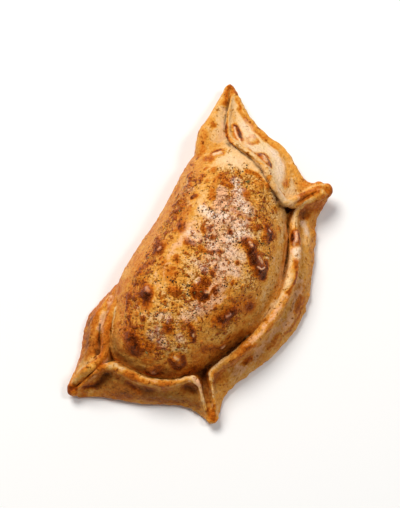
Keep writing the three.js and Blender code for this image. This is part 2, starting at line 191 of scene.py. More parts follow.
# Beads of the dough, and creases below zero: radius, height
FOLDS = (
    ("crevice beside the near roll, filled", 1.1, 1.6, (288.5, 216), (287.5, 245), (285.5, 262),
     (280, 282), (272, 300), (262, 315), (250, 331), (242, 340)),
    ("groove behind the covering flap", 0.8, -0.7, (230, 88), (228, 97), (226.5, 107),
     (225.5, 120), (224.5, 130), (226, 141.6), (231.4, 147), (236.8, 148.5), (246, 153.5),
     (253, 159), (257.7, 164.4), (263, 172.5), (266.8, 177), (267.7, 183.6), (272.3, 192.7),
     (277.7, 201.8)),
    ("bead of the covering flap", 1.4, 0.3, (229, 126), (229.5, 135), (234, 143), (248, 149),
     (260, 157.5), (268, 169), (271, 182), (277, 194), (284, 201)),
    ("free limb", 1.9, 0.9, (284, 203), (292, 201), (299, 197), (308, 191.5), (318, 187.5),
     (327, 185.5)),
    ("groove inside the outer lip", 0.9, -0.22, (236.8, 100.7), (240.5, 110), (246, 120),
     (251.4, 127), (258.6, 133.5), (266, 140.7), (275, 147), (281.4, 154.4), (286, 162.5),
     (287.7, 173.5)),
    ("groove at the top tip", 0.6, -0.6, (231, 86), (229, 92), (227.5, 100), (226.5, 108)),
    ("ring of the covering flap", 1.7, 0.8, (252.7, 137.5)),
    ("outer lip", 1.1, 0.35, (236, 94), (240, 101), (244, 109), (249.5, 118), (255, 125),
     (262, 131.5), (269.5, 138), (279, 145), (286, 152), (291, 160), (295, 171)),
    ("nose of the near corner", 0.9, -0.9, (319, 183.5)),
    ("between the limbs of the near corner", 0.8, -1.2, (294, 205), (300, 201.5), (308, 196.5),
     (316, 192.5)),
    ("lower limb of the near corner", 0.9, 0.7, (295, 229), (294.5, 216), (297, 209), (304, 203.5),
     (313, 198.5), (323, 193)),
    ("hollow of the near corner", 1.9, -0.5, (300, 214), (308, 215)),
    ("left tip groove", 0.6, -0.6, (71, 389.5), (77, 386), (85, 379), (93, 371), (103, 364)),
    ("left tip, upper bead", 1.4, 0.6, (69, 386), (75, 380), (83, 371), (92, 364)),
    ("left tip, lower bead", 1.3, 0.5, (69, 393), (80, 387), (93, 377), (103, 368)),
    ("left tip, lower crevice", 0.9, -0.6, (88, 388), (98, 384), (107, 375)),
    ("far flap crease", 0.7, -0.6, (100, 325), (99, 340), (99.5, 352)),
    ("far flap pocket", 1.2, -0.8, (94, 347), (98, 354)),
    ("far flap fold", 1, 0.5, (86, 362), (94, 360), (102, 358)),
    ("far flap thin crease", 0.5, -0.3, (91, 340), (95, 345)),
    ("lower tip groove", 0.9, 0.3, (203.6, 376), (206, 394), (208, 410)),
    ("lower tip, left bead", 1.1, 0.3, (194, 377), (200, 385), (203, 399), (205, 410)),
    ("lower tip, right bead", 1.2, 0.4, (209, 372), (212, 383), (214.5, 396), (215.5, 409)),
    ("hollow under the short roll", 1.9, -0.1, (186, 388), (194, 391)),
    ("wrinkle by the lower tip", 0.5, -0.3, (198, 366), (202, 372)),
    ("wrinkle by the lower tip 2", 0.5, -0.25, (204, 362), (206, 369)),
    ("belly wrinkle", 0.5, -0.25, (266, 292), (275, 288), (282, 281)),
    ("belly wrinkle 2", 0.5, -0.25, (268, 298), (277, 294)),
    ("bump of the outline", 1.9, 1, (314, 233.6)),
    ("bump of the outline 2", 1, 1, (308, 295)),
    ("bump of the outline 3", 1, 0.8, (304.5, 307)),
)
# Dark cores of blisters, slits and stains: radius, browning
DARKS = (
    ("slit, dark side", 0.7, 0.96, (237.5, 129), (240, 134), (240.5, 138)),
    ("slit, dark top", 0.6, 0.8, (234, 126), (236, 128)),
    ("oval, upper rim", 0.7, 0.8, (259, 157), (261.5, 154.5), (265, 154.5), (268, 157.5)),
    ("oval, dark side", 0.9, 0.96, (267.5, 160), (270, 164), (269.5, 166)),
    ("dome top, rim", 0.6, 0.86, (211, 153.5), (215, 151.5), (221, 150)),
    ("near roll, core", 0.8, 0.88, (293, 236), (292.5, 240)),
    ("near roll, right", 0.6, 0.84, (298.5, 235), (298.5, 240)),
    ("pair, neck", 1.4, 0.9, (251, 254), (253, 262)),
    ("pair, core", 2.2, 1.02, (260, 271), (263, 275)),
    ("pair, right", 1.1, 0.92, (266, 262), (267, 268)),
    ("right of the pair, core", 0.9, 0.96, (269, 236), (269.5, 239)),
    ("middle, core", 1.7, 0.92, (202, 297), (205, 296)),
    ("middle, left", 0.9, 0.86, (193, 293), (195, 297)),
    ("left, core", 1.9, 0.92, (146, 294), (148, 297)),
    ("large low, core", 2.3, 0.88, (133, 339), (136, 350)),
    ("ring, core", 1.1, 0.92, (173, 363), (177, 368), (183, 366)),
    ("slanting, core", 1.7, 0.96, (220, 320), (226, 316), (231, 312)),
    ("upper left, core", 0.9, 0.88, (181, 227)),
    ("small dark, core", 0.6, 0.95, (192, 198)),
    ("upper left ring, core", 0.8, 0.84, (155, 252), (159, 251)),
    ("streak, core", 0.7, 0.9, (192, 332), (194, 339)),
    ("ring, dark arc", 1.1, 0.8, (170, 360), (173, 367), (179, 369), (184, 364), (183, 357)),
    ("pair, low core", 1.9, 0.96, (261, 271), (263, 275)),
    ("short wall stain", 1.4, 0.8, (128, 382), (134, 387), (139, 392)),
    ("low red, core", 1.6, 0.84, (148, 373), (153, 374), (159, 373)),
    ("near wall stain", 1.2, 0.68, (245, 361), (251, 358)),
    ("right of it, core", 1.2, 0.82, (251, 306)),
    ("groove of the near corner", 0.6, 0.74, (299, 202.5), (308, 197), (318, 191.5)),
    # painted shade: the dark slit between horn and flap, under the flap's edge
    ("slit between horn and flap", 0.8, 0.78, (225.5, 112), (226, 136), (233, 146.5), (247, 155.5),
     (256, 162)),
)
# Blisters with a golden halo: radius, browning, height
BLISTERS = (
    ("covering flap, slit", 1.9, 0.62, 0.5, (235, 127), (237, 133), (240, 139)),
    ("covering flap, oval", 3.1, 0.66, 0.9, (262.5, 158), (266, 162.5)),
    ("dome top", 1.8, 0.62, 0.6, (213, 155), (218, 153.5), (222, 152)),
    ("near roll", 2.1, 0.76, 0.5, (296, 234), (295.5, 242)),
    ("pair, upper", 2.9, 0.72, 0.7, (247, 242), (252, 245)),
    ("pair, neck", 2.4, 0.78, 0.5, (252, 250), (254, 258)),
    ("pair, lower", 4, 0.78, 1, (256, 262), (261, 270)),
    ("right of the pair", 2.1, 0.78, 0.6, (266, 229), (268.5, 236)),
    ("left", 3.2, 0.78, 1, (146, 290), (147, 295)),
    ("middle", 3, 0.68, 0.9, (196, 290), (203, 294)),
    ("between", 2.1, 0.7, 0.5, (174, 291)),
    ("far left", 1.9, 0.72, 0.5, (128, 296)),
    ("large low", 4.3, 0.76, 0.9, (131, 339), (136, 348)),
    ("large low, tail", 2.1, 0.72, 0.3, (140, 348), (149, 348)),
    ("ring", 3.5, 0.6, 0.9, (176, 359), (179, 364)),
    ("low red", 2.8, 0.8, 0.9, (152, 371), (157, 370)),
    ("slanting", 2.3, 0.8, 0.7, (224, 319), (229, 315), (234, 311)),
    ("right of it", 2.1, 0.75, 0.3, (250, 307)),
    ("streak", 1.4, 0.78, 0.4, (190, 326), (193, 334), (194, 341)),
    ("near belly ring", 2.6, 0.74, 0.6, (222, 347)),
    ("near belly dot", 1.3, 0.8, 0.4, (228, 337)),
    ("near belly left", 1.7, 0.78, 0.3, (219, 357)),
    ("upper left", 2.2, 0.74, 0.6, (180, 225), (182, 228)),
    ("upper left ring", 2.1, 0.8, 0.6, (157, 251), (162, 247)),
    ("olive", 1.6, 0.54, 0.5, (182, 206)),
    ("small dark", 1.2, 0.85, 0.4, (192, 197), (195, 196)),
    ("upper right", 2, 0.66, 0.4, (246, 195)),
    ("arc", 1.4, 0.5, 0.3, (217, 178), (213, 188), (211, 198)),
    ("arc 2", 1.3, 0.54, 0.4, (221, 174), (225, 181), (231, 186)),
    ("slit streak", 1.1, 0.58, 0.5, (247, 171), (256, 175), (264, 185)),
    ("red one", 1.2, 0.82, 0.4, (231, 232)),
    ("red two", 1.1, 0.84, 0.4, (220, 252)),
    ("red three", 1.2, 0.86, 0.4, (212, 273)),
    ("red four", 1.1, 0.76, 0.3, (237, 262)),
    ("five", 1.1, 0.8, 0.3, (212, 237)),
    ("cluster", 1.1, 0.6, 0.3, (200, 247), (205, 252)),
    ("spots", 1.1, 0.72, 0.3, (203, 227), (204, 231)),
    ("orange patch", 2.4, 0.7, 0.4, (168, 328)),
    ("horn blotch", 1.4, 0.72, 0.4, (213, 125)),
    ("horn patch", 1.5, 0.66, 0.3, (207, 158), (211, 160)),
)
# Browned or pale streaks: radius, browning. The pale crests of the rolls are partly painted
# highlight; the dark crevices, grooves, hollows and pockets, and the dark right rim of the dome,
# are partly painted shade
STROKES = (
    ("red-orange by the middle", 1.6, 0.7, (201, 279), (207, 281)),
    ("halo of the slanting one", 4.3, 0.55, (220, 322), (235, 308), (252, 304)),
    ("below the pair", 1.9, 0.4, (262, 281)),
    ("halo low", 5.2, 0.6, (130, 335), (140, 345), (150, 350)),
    ("belly band", 3.3, 0.55, (214, 362), (228, 348), (240, 334)),
    ("left band", 2.4, 0.45, (122, 306), (117, 330)),
    ("above the low one", 2.4, 0.56, (138, 331), (128, 328)),
    ("right rim of the dome", 1.2, 0.55, (284, 236), (283, 262)),
    ("orange by patch", 2.8, 0.52, (264, 221), (274, 232)),
    ("orange right streak", 1.2, 0.6, (240, 215), (249, 220)),
    ("brown patch near streak", 1.5, 0.66, (232, 209), (238, 212)),
    ("orange, upper right slope", 1.3, 0.6, (175, 258), (177, 262)),
    ("olive below", 1.4, 0.5, (186, 210), (190, 213)),
    ("fold side blotches", 1.9, 0.6, (140, 268), (150, 262)),
    ("low dome", 2.4, 0.5, (150, 355), (140, 362)),
    ("ring, arc below", 1.1, 0.64, (247.5, 139), (249, 143.5), (252.5, 144.5), (257, 140.5)),
    ("ring, dot", 0.7, 0.66, (248.6, 147)),
    ("horn top", 1.6, 0.72, (230, 86), (227, 98), (224, 106)),
    ("groove, dark top", 0.6, 0.82, (231, 86), (229, 92), (227.5, 100), (226.5, 108)),
    ("horn outer", 1.4, 0.52, (204, 130), (202, 145), (200, 156)),
    ("horn streak", 0.8, 0.5, (213, 118), (212, 130)),
    ("crown, left blotch", 1.4, 0.55, (204, 158), (210, 159)),
    ("T tip, right edge", 1.1, 0.64, (232, 86), (236.5, 93)),
    ("lip line", 0.9, 0.5, (236, 99), (240, 110), (246, 120), (251.4, 127), (259, 134), (266, 141),
     (275, 147.5), (281, 155)),
    ("lip line, darker", 0.7, 0.62, (238, 104), (240, 109)),
    ("lip band", 2.2, 0.42, (284, 160), (287.5, 172), (285, 186)),
    ("lip band, middle", 1.2, 0.56, (286, 182), (285, 187)),
    ("free limb", 1.5, 0.16, (297, 196), (306, 191), (316, 186.5), (327, 185)),
    ("free limb, pale root", 1.4, 0.16, (280, 200), (290, 201.5)),
    ("groove of the near corner", 0.6, 0.72, (298, 203), (308, 197), (316, 192.5)),
    ("lower limb crest", 1.2, 0.08, (295, 229), (294.5, 216), (297, 209), (304, 203), (313, 197.5),
     (323, 192)),
    ("lower limb body", 1.5, 0.5, (308, 211), (314, 208), (321, 203), (328, 196)),
    ("near corner nose", 1.5, 0.6, (330, 186), (332, 190)),
    ("hollow of near corner", 1.9, 0.66, (300, 213), (306, 216)),
    ("near roll outer streak", 1.1, 0.76, (296, 262), (296.5, 274), (293, 286), (289, 293)),
    ("near roll crest, pale", 1.7, 0.08, (291, 258), (289.5, 270), (285, 286), (278, 300),
     (269, 312), (258, 323)),
    ("near roll, cream patch", 1.2, 0.06, (296, 249), (297, 256)),
    ("near roll flank, orange", 0.9, 0.52, (287, 306), (275, 323), (260, 340), (245, 353),
     (231, 362)),
    ("near roll crest, low", 1.4, 0.1, (258, 325), (249, 335), (238, 346.5), (226, 356.5),
     (214, 366), (209, 374)),
    ("wall, pale top", 1.9, 0.14, (304, 224), (308, 236)),
    ("wall, orange patches", 1.1, 0.66, (301, 298), (296, 310)),
    ("wall, low line", 0.9, 0.6, (304, 300), (298, 316), (288, 332), (276, 346)),
    ("wall, tan patches", 1.4, 0.24, (291, 300), (284, 314)),
    ("short roll crest, pale", 0.9, 0.1, (107, 363), (118, 366), (131, 371.5), (146, 378),
     (160, 379.5), (178, 379.5), (193, 377)),
    ("short roll flank, orange", 1, 0.52, (126, 375), (137, 380.5), (150, 384), (168, 384.5),
     (184, 382.5)),
    ("short wall, orange foot", 1.2, 0.58, (120, 394), (140, 398), (165, 400), (190, 404)),
    ("short wall, red patch", 0.9, 0.68, (122, 392), (128, 396)),
    ("left tip, pale crest", 1.4, 0.2, (75, 381), (84, 374), (92, 366)),
    ("left tip, mottled", 0.9, 0.36, (84, 374), (92, 370)),
    ("left tip, dark crevice", 0.9, 0.85, (90, 386), (100, 382), (108, 374)),
    ("far roll, pale edge", 0.8, 0.3, (109, 296), (104, 306), (103, 320)),
    ("lower tip, pale left bead", 1.8, 0.1, (193, 377), (200, 386), (203, 400)),
    ("lower tip, orange right bead", 1.3, 0.14, (209, 374), (212, 384), (214, 396)),
    ("lower tip, dark dots", 0.9, 0.85, (214, 406), (213.5, 416)),
    ("near roll streak 2", 0.9, 0.7, (250, 346), (244, 352)),
    ("near wall gold", 2.1, 0.26, (303, 230), (306, 246), (305, 260)),
    ("near wall stain", 1.4, 0.66, (245, 361), (251, 358)),
    ("near wall stain 2", 1.4, 0.6, (280, 335), (270, 348)),
    ("short roll blotches", 1.4, 0.62, (128, 372), (136, 378)),
    ("short roll blotch 2", 1.2, 0.62, (116, 369)),
    ("short wall low", 1.4, 0.55, (140, 396), (175, 402)),
    ("far roll", 1.7, 0.62, (107, 330), (105, 345), (104, 356)),
    ("far roll patch", 1.2, 0.72, (101, 341)),
    ("far wall blotches", 1.9, 0.6, (93, 322), (90, 345)),
    ("far wall edge", 1.2, 0.66, (87, 347)),
    ("left tip groove", 0.6, 0.8, (71, 389.5), (77, 386), (85, 379), (93, 371), (103, 364)),
    ("left tip nose", 1.7, 0.8, (69, 390), (74, 387)),
    ("lower tip groove", 1, 0.6, (204, 377), (206, 390), (208, 404)),
    ("lower tip nose", 1.6, 0.74, (210, 412), (213, 420)),
    ("pocket", 1.6, 0.66, (188, 388), (193, 391)),
    ("cream edge on the far side", 0.8, 0.05, (115, 308), (113, 322), (112.5, 334)),
    ("patch", 2.6, 0.34, (261, 208), (270, 213)),
    ("left of the belly", 2.8, 0.5, (196, 352), (206, 362)),
    ("flap bead", 0.9, 0.36, (229, 99), (227.5, 115), (228, 130), (233, 141), (243, 147),
     (254, 153), (262, 162)),
    ("flap, slit side", 2.1, 0.27, (232, 108), (233, 122), (235, 136), (243, 144)),
    ("horn slope light", 1.9, 0.2, (221, 112), (216, 126), (214, 140)),
    ("left tip, golden slope", 2.4, 0.14, (80, 371), (92, 361)),
    ("far flap, light", 1.9, 0.4, (92, 320), (93, 345)),
    ("upper right slope, light", 2.8, 0.3, (254, 188), (262, 200)),
    ("crown, golden", 3.3, 0.17, (222, 158), (236, 160), (248, 166)),
    ("right dome, orange", 2.8, 0.46, (262, 282), (256, 300)),
    ("left tip, dark lower bead", 1.4, 0.85, (84, 386), (96, 384)),
    ("short roll corner, pale", 1.4, 0.1, (103, 365), (115, 365)),
    ("far flap, dark dots", 0.9, 0.8, (92, 319.5)),
    ("far flap, dark dot 2", 0.8, 0.84, (99.5, 326)),
    ("dome beside the flap, golden", 2.8, 0.3, (254, 188), (262, 200)),
)
# Painted highlights on the blisters, pale, with real gloss and a small rise: radius, amount
GLINTS = (
    ("covering flap, slit", 0.5, 1, (234, 128), (235.5, 134), (237.5, 138.5), (240.5, 142)),
    ("covering flap, oval", 1.2, 0.9, (261.5, 158), (264, 162.5)),
    ("covering flap, oval low", 0.5, 0.8, (265, 167), (269, 168.5)),
    ("dome top", 0.9, 1, (214, 155.5), (218, 154.5), (221, 153.5)),
    ("near roll", 0.6, 0.8, (295.5, 232), (296.5, 240), (294, 245)),
    ("lens under the flap", 0.7, 0.8, (238, 150.5), (246, 155)),
    ("pair, upper", 0.7, 0.9, (249, 243), (251, 246)),
    ("pair, lower a", 0.8, 0.9, (258, 258), (261, 262)),
    ("pair, lower b", 0.4, 1, (256.5, 267), (259.5, 269.5), (263, 267.5)),
    ("pair, lower c", 0.4, 1, (266, 257.5), (268, 258.5)),
    ("right of the pair", 0.6, 0.8, (267.5, 230.5), (268.5, 232)),
    ("middle", 0.8, 0.9, (206, 292), (208, 292.5)),
    ("middle, upper", 0.7, 1, (196, 282), (198, 279.5)),
    ("left", 0.9, 0.5, (147.5, 288), (149, 291)),
    ("streak", 0.5, 1, (193, 334), (193.3, 336)),
    ("ring", 0.7, 0.7, (175, 356.5), (178, 358.5)),
    ("slanting", 0.7, 0.55, (226, 316), (229, 314)),
    ("low red", 0.9, 0.6, (152.5, 371), (155, 371)),
    ("near belly ring", 0.9, 1, (221.5, 347), (224, 346)),
    ("small dark", 0.4, 0.8, (193.5, 196.5)),
    ("upper left ring", 0.6, 0.7, (159, 250), (161, 248)),
    ("right of it", 0.5, 1, (257, 298)),
)
# Browned rings around a low bubble: radius, browning
RINGS = (
    ("upper dome", 1.9, 0.6, (226, 183)),
    ("fold side", 1.4, 0.55, (204, 220)),
)
# Pinkish pale patches: radius, amount
PINKS = (
    ("bare patch", 2.6, 0.7, (219, 190), (221, 198), (219, 205)),
    ("bare patch, point", 1.7, 0.6, (225, 196)),
    ("right of the red one", 1.9, 0.5, (241, 223), (234, 226)),
    ("ring of the covering flap", 1.9, 0.7, (252.7, 137.5)),
    # painted shade: the pinkish greyish slope of the horn beside the groove
    ("horn slope", 2, 0.3, (223, 108), (222, 125), (220, 140)),
    ("centre", 2.8, 0.4, (228, 252), (232, 266)),
    ("near corner, light patch", 1.4, 0.6, (302, 224)),
    ("far flap, beige", 1.6, 0.4, (104, 312), (99, 330)),
    ("lower tip, left bead", 1.4, 0.5, (196, 380), (201, 390)),
)
# Glaze that dried whitish: radius, amount
# Painted highlights, a whitish sheen on the glazed dome and flap: radius, amount
SHEENS = (
    ("upper right", 2.1, 0.95, (236, 182), (241, 197)),
    ("upper right 2", 2.4, 0.9, (240, 203), (248, 212)),
    ("left of the bare patch", 1.9, 0.8, (203, 208), (210, 216)),
    ("below the bare patch", 2.1, 1, (213, 214), (224, 217)),
    ("above the pair", 2.4, 1, (229, 237), (246, 234)),
    ("above the pair 2", 1.9, 0.7, (234, 229), (245, 224)),
    ("fold side", 2.4, 0.6, (186, 230), (196, 238)),
    ("middle left", 1.9, 0.6, (208, 236), (214, 246)),
    ("middle", 2.4, 0.6, (226, 250), (240, 256)),
    ("middle low", 2.4, 0.45, (222, 266), (236, 272)),
    ("left low", 1.9, 0.5, (196, 262), (206, 268)),
    ("covering flap", 2.4, 0.75, (272, 152), (280, 164), (279, 178)),
    ("covering flap, middle", 1.9, 0.4, (243, 128), (250, 150), (258, 148)),
    ("crown", 2.8, 0.3, (226, 160), (238, 162)),
    ("near roll", 1.6, 0.7, (296, 249), (298, 256)),
    ("near wall, top", 1.6, 0.5, (303, 224), (307, 232)),
    ("bead of the covering flap", 1.2, 0.5, (276, 188), (284, 200)),
    ("covering flap, upper", 1.9, 0.5, (244, 124), (250, 132)),
    ("centre wide", 4.8, 0.22, (216, 224), (222, 245), (214, 262)),
    ("upper middle", 3.3, 0.35, (236, 204), (228, 222)),
    ("middle, upper glint", 0.9, 0.9, (196, 282), (199, 279)),
    ("low middle", 1.9, 0.4, (158, 330), (163, 343)),
    ("low middle 2", 1.4, 0.6, (150, 333), (153, 337)),
    ("low middle 3", 1.4, 0.5, (178, 338), (182, 341)),
    ("low middle 4", 1.6, 0.5, (158, 316), (168, 318)),
    ("low middle 5", 1.9, 0.4, (196, 308), (188, 316)),
)
# Dark juices and painted shade in the seams: radius, amount
SEAMS = (
    ("under the edge of the flap", 0.9, 0.75, (234, 148.5), (240, 151), (248, 156), (257, 163)),
    ("crevice by the covering flap", 0.8, 0.7, (264, 175), (268, 184), (272.3, 193), (278, 202)),
    ("crevice beside the near roll, lower", 1.4, 0.18, (288, 240), (286, 262), (279, 285),
     (270, 304), (256, 322)),
    ("crevice beside the near roll, upper", 0.9, 0.6, (288.6, 213), (287, 227)),
    ("near corner hole", 1.6, 0.7, (277, 203.5), (283, 206.5), (289, 210)),
    ("groove of the lower tip", 1.6, 0.25, (203.6, 376), (206, 390), (208, 410)),
    ("hollow under the short roll", 2.4, 0.3, (184, 387), (194, 392)),
    ("crevice of the left tip", 1.9, 0.7, (98, 385), (108, 374)),
    ("horn and flap", 0.6, 0.7, (228, 97), (226, 110), (224.5, 130), (227, 143)),
    ("lip", 1.4, 0, (240, 110), (251, 127), (266, 141), (280, 154)),
    ("root of the free limb", 1.2, 0, (286, 196), (300, 192), (312, 187)),
    ("pocket above the lower tip", 1.1, 0.6, (198, 375), (202, 373.5), (206, 370)),
)
# Thick places of the pepper: radius, grains
CLUSTERS = (
    ("upper right", 2.4, 16, (234, 178), (241, 180)),
    ("slot edge", 1.4, 7, (241, 172), (247, 167)),
    ("left of the patch", 2.4, 14, (202, 209), (207, 212)),
    ("below the patch", 1.4, 12, (222, 212), (227, 205)),
    ("right of the patch", 2.4, 14, (240, 207), (249, 210)),
    ("middle left", 2.4, 14, (211, 232), (214, 241)),
    ("middle right", 2.8, 20, (234, 237), (241, 243)),
    ("right edge", 2.8, 18, (262, 244), (269, 258)),
    ("lower left", 1.4, 9, (159, 277), (160, 285)),
    ("lower middle", 1.9, 12, (172, 281), (178, 283)),
    ("lower middle 2", 1.9, 14, (184, 284), (190, 288)),
    ("by the middle blister", 1.4, 8, (186, 296), (186, 302)),
    ("lower right", 1.9, 9, (224, 283), (222, 290)),
    ("low", 2.4, 10, (148, 308), (153, 314)),
    ("upper left", 2.4, 6, (196, 186), (200, 190)),
    ("top left", 1.9, 4, (192, 174), (201, 174)),
    ("middle high", 2.4, 10, (216, 222), (222, 226)),
)
# Single grains of pepper, without names: radius
GRAINS = (
    (0.7, (194, 305)),
    (0.6, (161.5, 342.3)),
    (0.6, (239, 242.5)),
    (0.5, (233, 242)),
    (0.6, (224, 285.5)),
    (0.6, (167.5, 276)),
    (0.6, (176, 282)),
    (0.7, (188.5, 285.5)),
    (0.6, (246.5, 166.5)),
    (0.6, (237.5, 180)),
    (0.5, (221.5, 241.5)),
    (0.5, (196.5, 227.5)),
    (0.5, (257, 295)),
    (0.5, (272, 257.5)),
    (0.5, (226.5, 286)),
    (0.4, (213.5, 188)),
)
# Single herb flakes, from end to end: radius
HERBS = (
    ("large", 0.9, (246, 182.5), (249, 180.5)),
    ("second", 0.6, (247, 187)),
    ("flat", 0.6, (211.5, 257.5), (216, 259)),
    ("dark", 0.5, (223.5, 208.5), (226, 204.5)),
    ("olive", 0.7, (238, 207), (240, 210)),
    ("pale", 0.5, (222, 218), (226, 220)),
)
# Edges of the dough moved into place: radius, shift to the right and down in pixels
PULLS = (
    ("flap edge, upper", 2.4, (3.2, 0), (224, 100), (222, 118), (222.3, 135)),
    ("flap edge, middle", 2.8, (1.5, -3.6), (225, 142), (232, 149.5), (244, 157), (252, 163)),
    ("flap edge, lower", 2.8, (3.2, -2.4), (259, 172), (264, 183), (268.5, 193), (274, 202)),
    ("free limb root", 2.8, (1.5, -4), (281, 209), (288, 209.5)),
    ("left tip neck", 1.9, (-1.2, -1), (72, 381.5)),
)
ZONES = {"toast": TOAST, "pale": PALE, "grey": PAINTED_SHADE, "season": SEASON}


# --------------------------------------------------------------------------
# Numbers of the crust; lengths and heights are in millimetres

CRUST_TRIANGLES = 194000
UNDERSIDE_HEIGHT = 0.05      # points lower than this lie on the flat underside
UNDERSIDE_FACES = 0.06       # share of the underside's faces that is kept
# lower and upper height between which the smoothing grows, and its rounds
SOFT_BANDS = ((0.3, 2.0, 10), (19.0, 27.0, 24))
TIP_ROUNDS = 45
LIFTED = (0.4, 2.5)          # no shape is added below the first height, all above the second
GROOVE_ROUNDS = 26           # rounds of averaging that find the narrow grooves
HOLLOW_ROUNDS = 190          # and the wide hollows

# share, blob size and seed of each noise
WANDER = ((0.9, 3.2, 11), (0.35, 1.4, 21))
DOUGH_NOISE = ((0.9, 17, 1), (0.55, 7, 2), (0.2, 2.6, 3))
SEASONED_NOISE = ((0.16, 1.7, 4), (0.22, 3.6, 5))
WALL_NOISE = ((0.26, 2.6, 6), (0.24, 1.4, 8))
FOOT_RELIEF, FOOT_NOISE = 0.3, ((1.0, 2.8, 9),)

# Browning runs from 0, pale, to 1, almost black. A pair of numbers in brackets is
# where an even change from nothing to all starts and ends.
COMMON_TOAST, COMMON_WEIGHT = 0.44, 0.02     # browning where no zone reaches
UNDERSIDE_TOAST, UNDERSIDE_EDGE = 0.45, 1.0  # browning underneath, up to that height
ZONE_FALL = 1.2                              # how fast a zone fades
SEASON_EDGE = (0.18, 0.85)
GLOSS, SEASONED_GLOSS = 0.25, 0.6
BARE_EDGE, BARE_CALM, BARE_WALL_CALM = (0.88, 1.12), 0.5, 0.85
# dark juices and painted shade in the narrow grooves: where they start and end, and how dark
NARROW_GROOVE, SEAM_JUICE_AND_SHADE = (0.22, 0.7), 0.8
# painted shade in the wide hollows: where it starts and ends, and how dark
WIDE_HOLLOW, HOLLOW_SHADE = (0.3, 1.8), 0.7
WALL_TOP, FOOT_TOP = (17, 22), (2, 6)        # heights between which the noises end

BUBBLES, BUBBLE_SEED = 340, 97
BUBBLE_FOOT, BUBBLE_SLOPE = 19, 0.1          # lowest height, least upward direction
BUBBLE_LIKELY = 0.06                         # likelihood without seasoning
BUBBLE_RADIUS = (0.6, 2.0, 0.3)              # least radius, shape and scale of the rest
BUBBLE_TOAST, BUBBLE_HEIGHT = (0.34, 0.8), (0.12, 0.42)
BUBBLE_EDGE, BUBBLE_REACH = (0.35, 1.3), 1.4
BUBBLE_COVER, BUBBLE_GLOSS = 0.72, 0.6

# softness of the marks' edges, as a share of their radius
STROKE_SOFT, PINK_SOFT, SHEEN_SOFT, DARK_SOFT, GLINT_SOFT, SEAM_SOFT = (
    0.85, 0.9, 0.95, 0.95, 0.9, 0.6
)
# share of the wander that their edges follow
BLISTER_WANDER, DARK_WANDER, BARE_WANDER = 0.5, 0.3, 0.4
STROKE_COVER = 0.8
PINK_TOAST = 0.12
# how far the painted highlights hide the browning
SHEEN_FADE, SHEEN_TOAST = 0.35, 0.1          # how far the glaze hides the browning
BLISTER_CORE, BLISTER_DOME, BLISTER_LIFT = (0.0, 1.4), (0.1, 1.25), 1.4
# a blister clears the seasoning and the painted shade over its core
BLISTER_CLEARS = 0.8                         # share of seasoning and dullness it clears
HALO_TOAST, HALO_COVER = 0.54, 0.9           # golden brown around each blister
HALO_START, HALO_WIDTH, HALO_SHARE = 0.5, 3.2, 1.4
# painted highlights on the blisters
GLINT_SIZE, GLINT_COVER, GLINT_LIFT = 0.8, 0.66, 0.25
GLINT_TOAST, GLINT_WHITE = 0.05, 0.7
RING_PLACE, RING_WIDTH, RING_LIFT, RING_DOME = 0.95, 0.25, 0.3, 0.8

# fields of the mesh that the material reads
FIELDS = ("toast", "pale", "grey", "season", "gloss", "seam", "white")

# width in millimetres, detail, roughness and distortion of the material's noises
TEXTURES = {
    "wide": (11, 3, 0.6, 0.5),
    "coarse": (4.4, 4, 0.62, 0.5),
    "fine": (1.2, 3, 0.65, 0.2),
    "swirl": (1.8, 2, 0.6, 0),
    "stains": (3.6, 2.5, 0.6, 0.3),
    "bubbles": (2.1, 2.5, 0.6, 0.3),
    "specks": (0.85, 2.5, 0.6, 0.3),
    "skin": (1.4, 3, 0.6, 0),
    "grit": (0.6, 2, 0.5, 0),
}


# --------------------------------------------------------------------------
# Small helpers

def linear(code):
    """Linear RGBA of an sRGB hex code."""
    parts = [int(code[k:k + 2], 16) / 255 for k in (0, 2, 4)]
    return tuple(
        c / 12.92 if c <= 0.04045 else ((c + 0.055) / 1.055) ** 2.4 for c in parts
    ) + (1.0,)


def add(tree, kind, inputs=(), output=0, stops=(), **settings):
    """One node with its settings, and its inputs set or linked; returns one output.

    An operation follows the kind of node after a dot.
    """
    kind, _, operation = kind.partition(".")
    made = tree.nodes.new("ShaderNode" + kind)
    if operation:
        made.operation = operation
    for key, value in settings.items():
        setattr(made, key, value)
    for _ in stops[2:]:
        made.color_ramp.elements.new(1.0)
    for k, (place, colour) in enumerate(stops):
        made.color_ramp.elements[k].position = place
        made.color_ramp.elements[k].color = colour
    for key, value in inputs.items() if isinstance(inputs, dict) else enumerate(inputs):
        if isinstance(value, bpy.types.NodeSocket):
            tree.links.new(value, made.inputs[key])
        else:
            made.inputs[key].default_value = value
    return made.outputs[output] if made.outputs else None


def blank_material(name):
    """A new material without nodes, and a function that adds nodes to it."""
    material = bpy.data.materials.new(name)
    material.use_nodes = True
    material.node_tree.nodes.clear()
    return material, partial(add, material.node_tree)


def select_only(piece):
    """Selects one object and makes it the active one."""
    bpy.ops.object.select_all(action="DESELECT")
    piece.select_set(True)
    bpy.context.view_layer.objects.active = piece


def finish_with(piece, kind, **settings):
    """Adds a modifier and applies it."""
    select_only(piece)
    modifier = piece.modifiers.new(kind.title(), kind)
    for key, value in settings.items():
        setattr(modifier, key, value)
    bpy.ops.object.modifier_apply(modifier=modifier.name)


def soften(piece, weights, rounds):
    """Smooths the mesh by a weight for each point."""
    group = piece.vertex_groups.new(name="soft")
    for k in np.flatnonzero(weights):
        group.add([int(k)], float(weights[k]), "REPLACE")
    finish_with(piece, "SMOOTH", factor=0.5, iterations=rounds, vertex_group="soft")
    piece.vertex_groups.clear()


def values_of(piece, key):
    """A triple of numbers for each point of the mesh."""
    flat = np.empty(len(piece.data.vertices) * 3, np.float32)
    piece.data.vertices.foreach_get(key, flat)
    return flat.reshape(-1, 3).astype(float)


